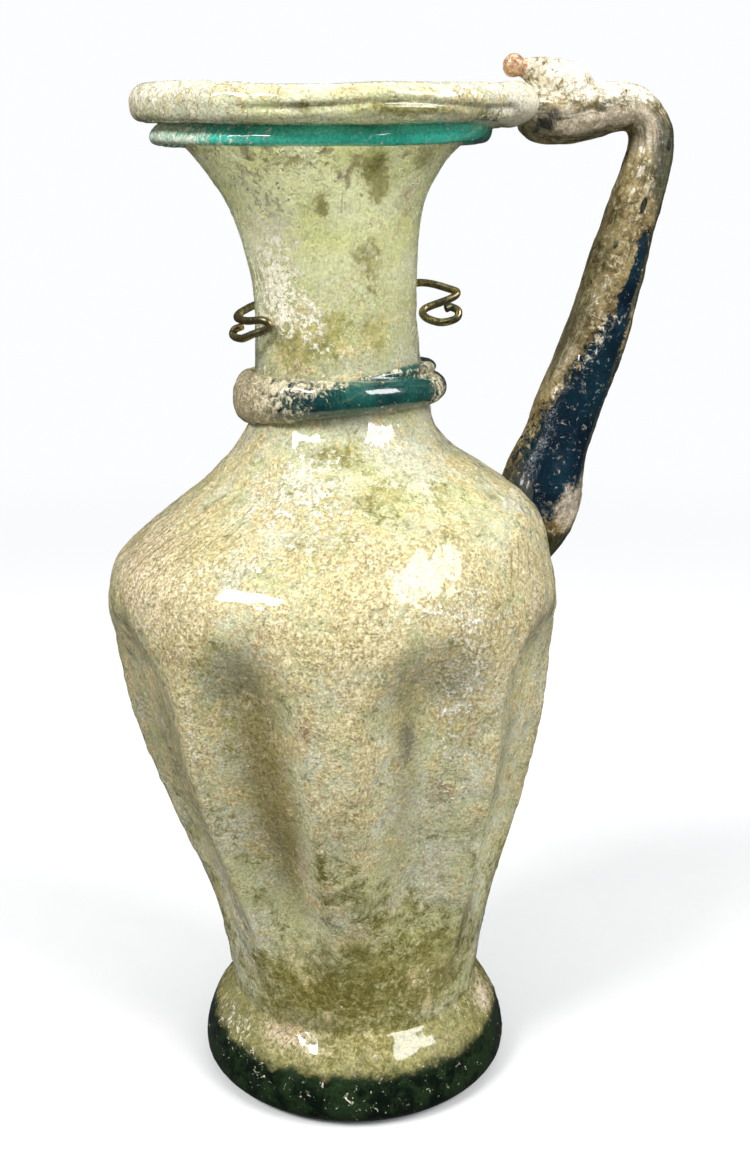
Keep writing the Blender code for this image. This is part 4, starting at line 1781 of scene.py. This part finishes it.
@dataclass
class Handle(Piece):
    """The applied handle: pad on the shoulder, elbow, thumb rest and the pinched-off knob.

    Its lines have (out share, up share, half thickness, half width), as in its solid. Its
    patches lie at a share across the arm, from its middle out, and at a height.

    Attributes:
        reach: How far its line reaches out for an out share of 1, in metres.
        thickness: The glass's thickness, which its half thicknesses and widths are shares of.
        pad_height: The pad's height on the vessel.
        knob_radius: The knob's radius.
        squareness: How much fuller a section is between its sides.
        back_share: The patches' strength on the back, as a share of the front's.
        voxel: Size of the cells in which its strands are melted.
        arm: The arm's line, from the pad to the rim.
        fold: The thumb rest's line.
        knob: The knob's out and up shares.
        knob_stain: How far round the knob's middle it is stained, in millimetres.
        shade_under_fold: Painted shade in the fold's corner, by millimetres along +X and height.
    """

    finish: ClassVar[OldGlass] = HANDLE_GLASS
    reach: float = 0.0185
    thickness: float = 0.0086
    pad_height: float = 0.0882
    knob_radius: float = 0.00145
    squareness: float = 0.06
    back_share: float = 0.55
    voxel: float = 0.00026
    arm: tuple = (
        (-0.03, -0.165, 0.29, 0.28), (0.00, -0.086, 0.55, 0.60), (0.07, 0.000, 0.68, 0.72),
        (0.13, 0.086, 0.66, 0.70), (0.22, 0.169, 0.56, 0.62), (0.33, 0.268, 0.55, 0.57),
        (0.515, 0.412, 0.51, 0.55), (0.706, 0.606, 0.47, 0.52), (0.861, 0.770, 0.40, 0.51),
        (0.961, 0.873, 0.37, 0.49), (0.992, 0.940, 0.34, 0.45), (0.945, 0.990, 0.33, 0.44),
        (0.818, 1.016, 0.36, 0.45), (0.651, 1.016, 0.40, 0.48), (0.454, 1.001, 0.43, 0.50),
        (0.253, 0.991, 0.44, 0.51), (0.096, 0.994, 0.41, 0.47), (-0.011, 1.002, 0.29, 0.35),
    )
    fold: tuple = (
        (0.310, 1.008, 0.50, 0.37), (0.300, 1.040, 0.51, 0.42), (0.225, 1.068, 0.44, 0.38),
        (0.075, 1.095, 0.25, 0.22), (-0.070, 1.107, 0.09, 0.10),
    )
    knob: Range = (-0.10, 1.110)
    knob_stain: Range = (1.6, 2.6)
    shade_under_fold: Patch = Patch(26.5, 142.6, 2.6, 2.2, 0.75)
    bare_patches: tuple[Patch, ...] = (
        Patch(0.48, 125, 0.26, 3.6, 1.2), Patch(0.40, 118.5, 0.30, 5, 1.15),
        Patch(0.18, 111, 0.48, 5.5, 1.2), Patch(0.0, 103, 0.90, 7, 1.4),
        Patch(-0.05, 95, 0.85, 5, 1.4), Patch(-0.1, 90, 0.8, 3.0, 1.3),
    )
    crusted_patches: tuple[Patch, ...] = (
        Patch(0.0, 111, 0.16, 3, 0.6), Patch(-0.15, 104, 0.16, 2.5, 0.5),
        Patch(0.2, 116, 0.12, 2, 0.4), Patch(-1.0, 112, 0.2, 8, 0.6),
        Patch(-0.3, 98, 0.2, 1.5, 0.4),
    )
    grey_patches: tuple[Patch, ...] = (
        Patch(1.0, 118, 0.26, 22, 0.95), Patch(0.40, 139, 0.65, 6.0, 1.25),
        Patch(0.95, 127, 0.34, 8, 0.9), Patch(0.9, 100, 0.2, 9, 0.5),
        Patch(0.2, 82.4, 3.0, 2.4, 1.3), Patch(-0.85, 141.5, 0.3, 1.6, 0.5),
    )
    blush_patches: tuple[Patch, ...] = (
        Patch(0.6, 88, 0.5, 4, 0.75), Patch(-0.3, 86, 0.4, 3, 0.5), Patch(0.95, 92, 0.3, 4, 0.5),
        Patch(-0.75, 112, 0.25, 8, 0.45), Patch(0.1, 134, 0.5, 4, 0.40),
        Patch(-0.3, 143.0, 0.6, 2.4, 0.95), Patch(0.0, 140.5, 1.2, 2.0, 0.5),
    )
    cream_patches: tuple[Patch, ...] = (
        Patch(0.0, 150.5, 4.0, 3.4, 1.0), Patch(-0.2, 113, 0.3, 4, 0.40),
        Patch(0.0, 146.5, 2.0, 1.6, 0.50), Patch(0.2, 137, 0.4, 3, 0.40),
        Patch(0.3, 131, 0.3, 2, 0.35), Patch(-0.5, 120, 0.3, 3, 0.30),
    )
    dark_patches: tuple[Patch, ...] = (
        Patch(-0.05, 131.5, 0.13, 1.3, 1.2), Patch(0.45, 140, 0.14, 0.9, 0.9),
        Patch(-0.6, 126, 0.12, 1.2, 0.5),
    )

    def place(self, out: np.ndarray, up: np.ndarray) -> np.ndarray:
        """Points of the handle's plane, between the pad on the shoulder and the rim's edge.

        Args:
            out: Shares of the reach.
            up: Shares of the rise from pad to rim.

        Returns:
            The points.
        """
        radius, _ = self.form.wall_spot(np.array(self.pad_height))
        foot = np.array([radius + self.form.lean(np.array(self.pad_height)), 0.0, self.pad_height])
        top = self.form.mouth_height
        head = np.array([self.form.rim_radius + self.form.lean(np.array(top)), 0.0, top])
        out = np.asarray(out)[..., None]
        up = np.asarray(up)[..., None]
        return foot + (head - foot) * up + np.array([self.reach, 0.0, 0.0]) * out

    def strand(self, name: str, line: tuple, steps: int, sides: int) -> bpy.types.Object:
        """A drawn strand of glass along a line of the handle's plane.

        Args:
            name: The new object's name.
            line: The strand's line.
            steps: Sections between two points of the line.
            sides: Points of a section.

        Returns:
            The strand, closed at both ends.
        """
        smooth = curve_through(line, steps)
        middles = self.place(smooth[:, 0], smooth[:, 1])
        along = directions(middles)
        out = outward(along)
        turns = circle(sides)
        square = 1 + self.squareness * np.sin(2 * turns) ** 2
        half_out = (smooth[:, 2] * self.thickness)[:, None] * (np.cos(turns) * square)
        half_side = (smooth[:, 3] * self.thickness)[:, None] * (np.sin(turns) * square)
        rows = middles[:, None, :] + half_out[..., None] * out[:, None, :]
        rows[..., 1] += half_side
        return lofted(name, rows)

    def seat(self) -> bpy.types.Object:
        """The vessel's outer form, filled, to cut the handle where it lies on it.

        Returns:
            The form, a hair larger than the vessel.
        """
        form = self.form
        top = form.roll_arc(13)[3:]
        lip = [(0.2 * form.rim_radius, top[0, 1])]
        wall = evened(form.wall_line[::-1], 90)[2:]
        outline = np.vstack([lip, top, wall, form.foot_line(), [(0.005, 0.0)]])
        azimuths, radii, heights = form.turned(outline, circle(144))
        return lofted("seat", form.settle(azimuths, radii + 0.05 * MM, heights))

    def build(self) -> bpy.types.Object:
        """Draws arm, fold and knob, melts them together and seats them on the vessel.

        Returns:
            The handle's piece.
        """
        arm = self.strand("jug_handle", self.arm, steps=8, sides=40)
        fold = self.strand("fold", self.fold, steps=10, sides=28)
        ball = bmesh.new()
        bmesh.ops.create_uvsphere(ball, u_segments=24, v_segments=16, radius=self.knob_radius)
        bmesh.ops.translate(ball, verts=ball.verts, vec=self.place(*self.knob).tolist())
        mesh = bpy.data.meshes.new("knob")
        ball.to_mesh(mesh)
        ball.free()
        piece = fused([arm, fold, new_object("knob", mesh)], self.voxel, smoothing=3)
        self.weather(piece)
        seat = self.seat()
        cut = piece.modifiers.new("Seat", "BOOLEAN")
        cut.operation = "DIFFERENCE"
        cut.object = seat
        piece = made_plain(piece)
        bpy.data.objects.remove(seat, do_unlink=True)
        return piece

    def weather(self, piece: bpy.types.Object) -> None:
        """Keeps the skin's masks, by the height and the share across the arm, and its relief.

        Args:
            piece: The handle's piece, before it is seated.
        """
        skin = Skin(piece)
        smooth = curve_through(self.arm, 8)
        line = self.place(smooth[:, 0], smooth[:, 1])
        gaps = np.linalg.norm(skin.places[:, None, (0, 2)] - line[None, :, (0, 2)], axis=2)
        nearest = gaps.argmin(axis=1)
        along = directions(line)[nearest]
        out = outward(along)
        offset = skin.places - line[nearest]
        side = (offset * out).sum(axis=1) / (smooth[nearest, 2] * self.thickness)
        travel = (lengths_along(line)[nearest] + (offset * along).sum(axis=1)) / MM
        angle = np.arctan2(offset[:, 1], (offset * out).sum(axis=1))
        flow = np.stack([4 * np.cos(angle), 4 * np.sin(angle), travel], axis=-1)
        skin.keep_flow(flow)

        cloud = skin.grain(size=6.0, octaves=3, seed=2.7)
        crumb = skin.grain(size=1.8, octaves=4, seed=8.3)
        drawn = skin.grain(size=1.3, octaves=3, seed=6.6, at=flow * (1.0, 1.0, 0.10))
        front = blend(-skin.places[:, 1] / MM, -1.0, 1.0)
        front = self.back_share + (1 - self.back_share) * front
        bare = skin.patches(self.bare_patches, side) * front
        at_knob = np.linalg.norm(skin.places - self.place(*self.knob), axis=1) / MM
        # Painted shade in the corner under the thumb rest's fold.
        corner = self.shade_under_fold.cover(skin.places[:, 0] / MM, skin.heights)
        crust = 1.0 - bare + skin.patches(self.crusted_patches, side) + 0.12 * cloud
        skin.keep(Mask.CRUST, crust)
        skin.keep(Mask.FROST, skin.patches(self.cream_patches, side) + 0.10 * cloud)
        skin.keep(Mask.BLUSH, skin.patches(self.blush_patches, side) + 0.08 * cloud)
        skin.keep(Mask.OLIVE, skin.patches(self.grey_patches, side) + 0.08 * cloud)
        skin.keep(Mask.RUST, 1 - blend(at_knob, *self.knob_stain))
        # The grey mask: dark spots on the front, and the painted shade in the fold's corner.
        skin.keep(Mask.SMOKE, skin.patches(self.dark_patches, side) * front + corner)
        skin.keep(Mask.CLEAR, 1.0)
        skin.keep(Mask.SHINE, 1.0)
        crusted = blend(crust + 0.4 * crumb, 0.4, 0.8)
        skin.stand_out(0.22 * cloud + 0.16 * drawn + crusted * (0.08 + 0.05 * crumb))


@dataclass
class NeckWire(Piece):
    """The bronze wire bent round the back of the neck, both ends curled.

    Its points are degrees round the neck, millimetres out from where the wire hugs it, and
    millimetres above the neck's waist.

    Attributes:
        radius: The wire's radius in metres.
        turn: Degrees that the whole wire is turned round the neck.
        left_curl: The curl at the left, from its end on.
        hugging: Where the stretch round the back starts and ends.
        hugging_points: Points of that stretch, with its ends.
        right_curl: The curl at the right, up to its end.
        steps: Points of the line between two of these.
    """

    finish: ClassVar[OldBronze] = OldBronze()
    radius: float = 0.00055
    turn: float = -10.0
    hugging: tuple[Colour, Colour] = ((180, 0.3, -0.6), (21, 0.3, 3.0))
    hugging_points: int = 7
    steps: int = 8
    left_curl: tuple = (
        (203, 1.6, -2.7), (199, 2.4, -3.2), (199, 2.6, -4.0), (207, 2.0, -4.3),
        (216, 1.3, -3.6), (224, 0.6, -3.0), (227, 0.4, -2.3), (223, 0.8, -1.7),
        (208, 1.4, -1.9), (193, 1.7, -1.6), (182, 0.9, -0.9),
    )
    right_curl: tuple = (
        (21, 1.3, 3.0), (15, 4.8, 2.1), (12, 5.6, 1.6), (10, 4.5, 0.8),
        (9.5, 0.7, -0.6), (4, 0.5, -1.7), (-2, 2.6, -2.4), (-2.5, 4.8, -1.9),
        (-0.5, 5.2, -0.9), (1, 4.2, -0.3), (0, 3.4, -0.5),
    )

    def route(self) -> np.ndarray:
        """The wire's centre line: a curl at the left, round the neck's back, another curl.

        Returns:
            Its points, one row each.
        """
        form = self.form
        hugging = np.linspace(*self.hugging, self.hugging_points)[1:-1]
        azimuths, out, up = np.vstack([self.left_curl, hugging, self.right_curl]).T
        azimuths = np.radians(azimuths + self.turn)
        radii = form.neck_radius + self.radius + GAP + out * MM
        waist = form.lean(np.array(form.neck_height))
        return curve_through(np.stack([
            waist + radii * np.cos(azimuths),
            radii * np.sin(azimuths),
            form.neck_height + up * MM,
        ], axis=-1), self.steps)

    def build(self) -> bpy.types.Object:
        """Draws the wire along its route.

        Returns:
            The wire's piece.
        """
        curve = bpy.data.curves.new("jug_neck_wire", "CURVE")
        curve.dimensions = "3D"
        curve.bevel_depth = self.radius
        curve.bevel_resolution = 5
        curve.use_fill_caps = True
        spline = curve.splines.new("POLY")
        route = self.route()
        spline.points.add(len(route) - 1)
        for point, place in zip(spline.points, route):
            point.co = (*place, 1.0)
        piece = made_plain(new_object("jug_neck_wire", curve))
        skin = Skin(piece)
        skin.stand_out(0.035 * skin.grain(size=2.5, octaves=3, seed=3.3))
        return piece


@dataclass(frozen=True)
class Softbox:
    """A soft light that faces the jug, placed by its direction from it.

    Attributes:
        name: The light's name.
        azimuth: Its direction round the jug in degrees.
        elevation: Its height above the jug's middle in degrees.
        distance: How far it stands from there.
        width: Its width.
        height: Its height.
        watts: Its power.
        mirrored: Whether the jug mirrors it.
    """

    name: str
    azimuth: float
    elevation: float
    distance: float
    width: float
    height: float
    watts: float
    mirrored: bool = True

    def build(self, target: Vector) -> bpy.types.Object:
        """Makes the light.

        Args:
            target: What it faces.

        Returns:
            The light's object.
        """
        lamp = bpy.data.lights.new(self.name, "AREA")
        lamp.shape = "RECTANGLE"
        lamp.size = self.width
        lamp.size_y = self.height
        lamp.energy = self.watts
        made = new_object(self.name, lamp)
        level = cos(radians(self.elevation))
        away = Vector((
            cos(radians(self.azimuth)) * level,
            sin(radians(self.azimuth)) * level,
            sin(radians(self.elevation)),
        ))
        made.location = target + away * self.distance
        made.rotation_euler = away.to_track_quat("Z", "Y").to_euler()
        made.visible_camera = False
        made.visible_glossy = self.mirrored
        return made


@dataclass
class Studio:
    """The camera at the photograph's viewing angle, a pale floor and soft light.

    Attributes:
        image_height: The photograph's height in pixels.
        focal_pixels: The fitted camera's focal length in pixels.
        sensor: The sensor's longer side in millimetres.
        camera_place: Where the camera stands.
        camera_pitch: Its tilt in degrees, 90 being level.
        camera_turn: Its turn round +Z in degrees.
        near_clip: The nearest that it sees.
        floor_radius: The floor's radius.
        floor_drop: How far the floor lies under the foot.
        floor_tones: The floor's two tones near the jug.
        floor_fade: From where to where the floor fades into the surround.
        light_aim: What the lights face.
        softboxes: The lights.
        horizon: Heights of a ray between which the surround gets lighter.
        ambient: The surround's strength at those heights.
        mirrored: How much of it the jug mirrors.
        glow: Its strength through the glass.
        backdrop: Its colour.
    """

    image_height: int = 1150
    focal_pixels: float = 1300.0
    sensor: float = 36.0
    camera_place: Colour = (-0.03007, -0.18722, 0.1250)
    camera_pitch: float = 90 - 13.912
    camera_turn: float = -10.0
    near_clip: float = 0.01
    floor_radius: float = 3.0
    floor_drop: float = 0.1 * MM
    floor_tones: tuple[Colour, Colour] = ((0.78, 0.79, 0.80), (0.82, 0.82, 0.82))
    floor_fade: Range = (0.06, 0.60)
    light_aim: Colour = (0.0, 0.0, 0.075)
    softboxes: tuple[Softbox, ...] = (
        Softbox("softbox_right", -46, 39, 0.80, 0.46, 0.38, 5.4),
        Softbox("softbox_left", -150, 41, 0.80, 0.38, 0.18, 6.2),
        Softbox("softbox_top", 60, 78, 0.90, 0.80, 0.80, 2.4),
        Softbox("softbox_low", -55, 4, 0.90, 0.90, 0.60, 1.5, mirrored=False),
    )
    horizon: Range = (-0.25, 0.6)
    ambient: Range = (0.28, 0.44)
    mirrored: float = 0.12
    glow: float = 1.55
    backdrop: Colour = (0.97, 0.985, 1.0)

    def place_camera(self) -> None:
        """Makes the camera and makes it the scene's."""
        data = bpy.data.cameras.new("camera")
        data.sensor_fit = "AUTO"
        data.sensor_width = self.sensor
        data.lens = self.focal_pixels / self.image_height * self.sensor
        data.clip_start = self.near_clip
        camera = new_object("camera", data)
        camera.location = self.camera_place
        camera.rotation_euler = Euler((radians(self.camera_pitch), 0.0, radians(self.camera_turn)))
        bpy.context.scene.camera = camera

    def lay_floor(self) -> None:
        """Lays the floor: pale near the jug, and lit evenly further off."""
        edit = bmesh.new()
        bmesh.ops.create_circle(edit, cap_ends=True, segments=96, radius=self.floor_radius)
        mesh = bpy.data.meshes.new("floor")
        edit.to_mesh(mesh)
        edit.free()
        floor = new_object("floor", mesh)
        floor.location.z = -self.floor_drop
        floor.visible_diffuse = False
        floor.visible_glossy = False
        board = Board(bpy.data.materials.new("floor_paper"))
        fine = board.grain(Grain.FINE)
        tone = board.mixed(board.grain(Grain.CLOUD), *self.floor_tones)
        reach = board.add("VectorMath", board.add("TexCoord").outputs["Object"],
                          operation="LENGTH")
        far = board.spread(reach.outputs["Value"], *self.floor_fade)
        board.surface(Base_Color=board.mixed(far, tone, (0.0, 0.0, 0.0)),
                      Roughness=board.spread(fine, 0.3, 0.7, 0.5, 0.6), Specular_IOR_Level=0.0,
                      Emission_Color=self.backdrop, Emission_Strength=far)
        board.relief(board.math("MULTIPLY", fine, 0.01), 0.3)
        floor.data.materials.append(board.owner)

    def light(self) -> None:
        """Sets the softboxes and an even surround that is white where it is seen."""
        for softbox in self.softboxes:
            softbox.build(Vector(self.light_aim))
        world = bpy.data.worlds.new("surround")
        bpy.context.scene.world = world
        board = Board(world)
        parts = board.add("SeparateXYZ", board.add("TexCoord").outputs["Generated"])
        sky = board.spread(parts.outputs["Z"], *self.horizon, *self.ambient)
        path = board.add("LightPath").outputs
        mirrored = board.spread(path["Is Glossy Ray"], 0.0, 1.0, 1.0, self.mirrored)
        dimmed = board.math("MULTIPLY", sky, mirrored)
        through = board.spread(path["Is Transmission Ray"], 0.0, 1.0, dimmed, self.glow)
        strength = board.spread(path["Is Camera Ray"], 0.0, 1.0, through, 1.0)
        background = board.nodes["Background"]
        board.feed(background.inputs["Color"], self.backdrop)
        board.feed(background.inputs["Strength"], strength)

    def set_up(self) -> None:
        """Makes the whole studio."""
        self.place_camera()
        self.lay_floor()
        self.light()
        view = bpy.context.scene.view_settings
        view.view_transform = "Standard"


def main() -> None:
    """Builds the studio and the jug's pieces, one after the other."""
    logging.basicConfig(level=logging.INFO, format="%(message)s")
    Studio().set_up()
    form = VesselForm()
    makers = (
        (Vessel(form), "vessel", Slot.PALE),
        (RimTrail(form), "rim_trail", Slot.TURQUOISE),
        (NeckTrail(form), "neck_trail", Slot.DARK),
        (Handle(form), "handle", Slot.HANDLE),
        (NeckWire(form), "neck_wire", Slot.BRONZE),
    )
    for maker, node, slot in makers:
        piece = maker.build()
        maker.dress(piece)
        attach(piece, "root")
        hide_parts(node)
        LOG.info("%s: %d faces for node %s", piece.name, len(piece.data.polygons), node)


if __name__ == "__main__":
    main()
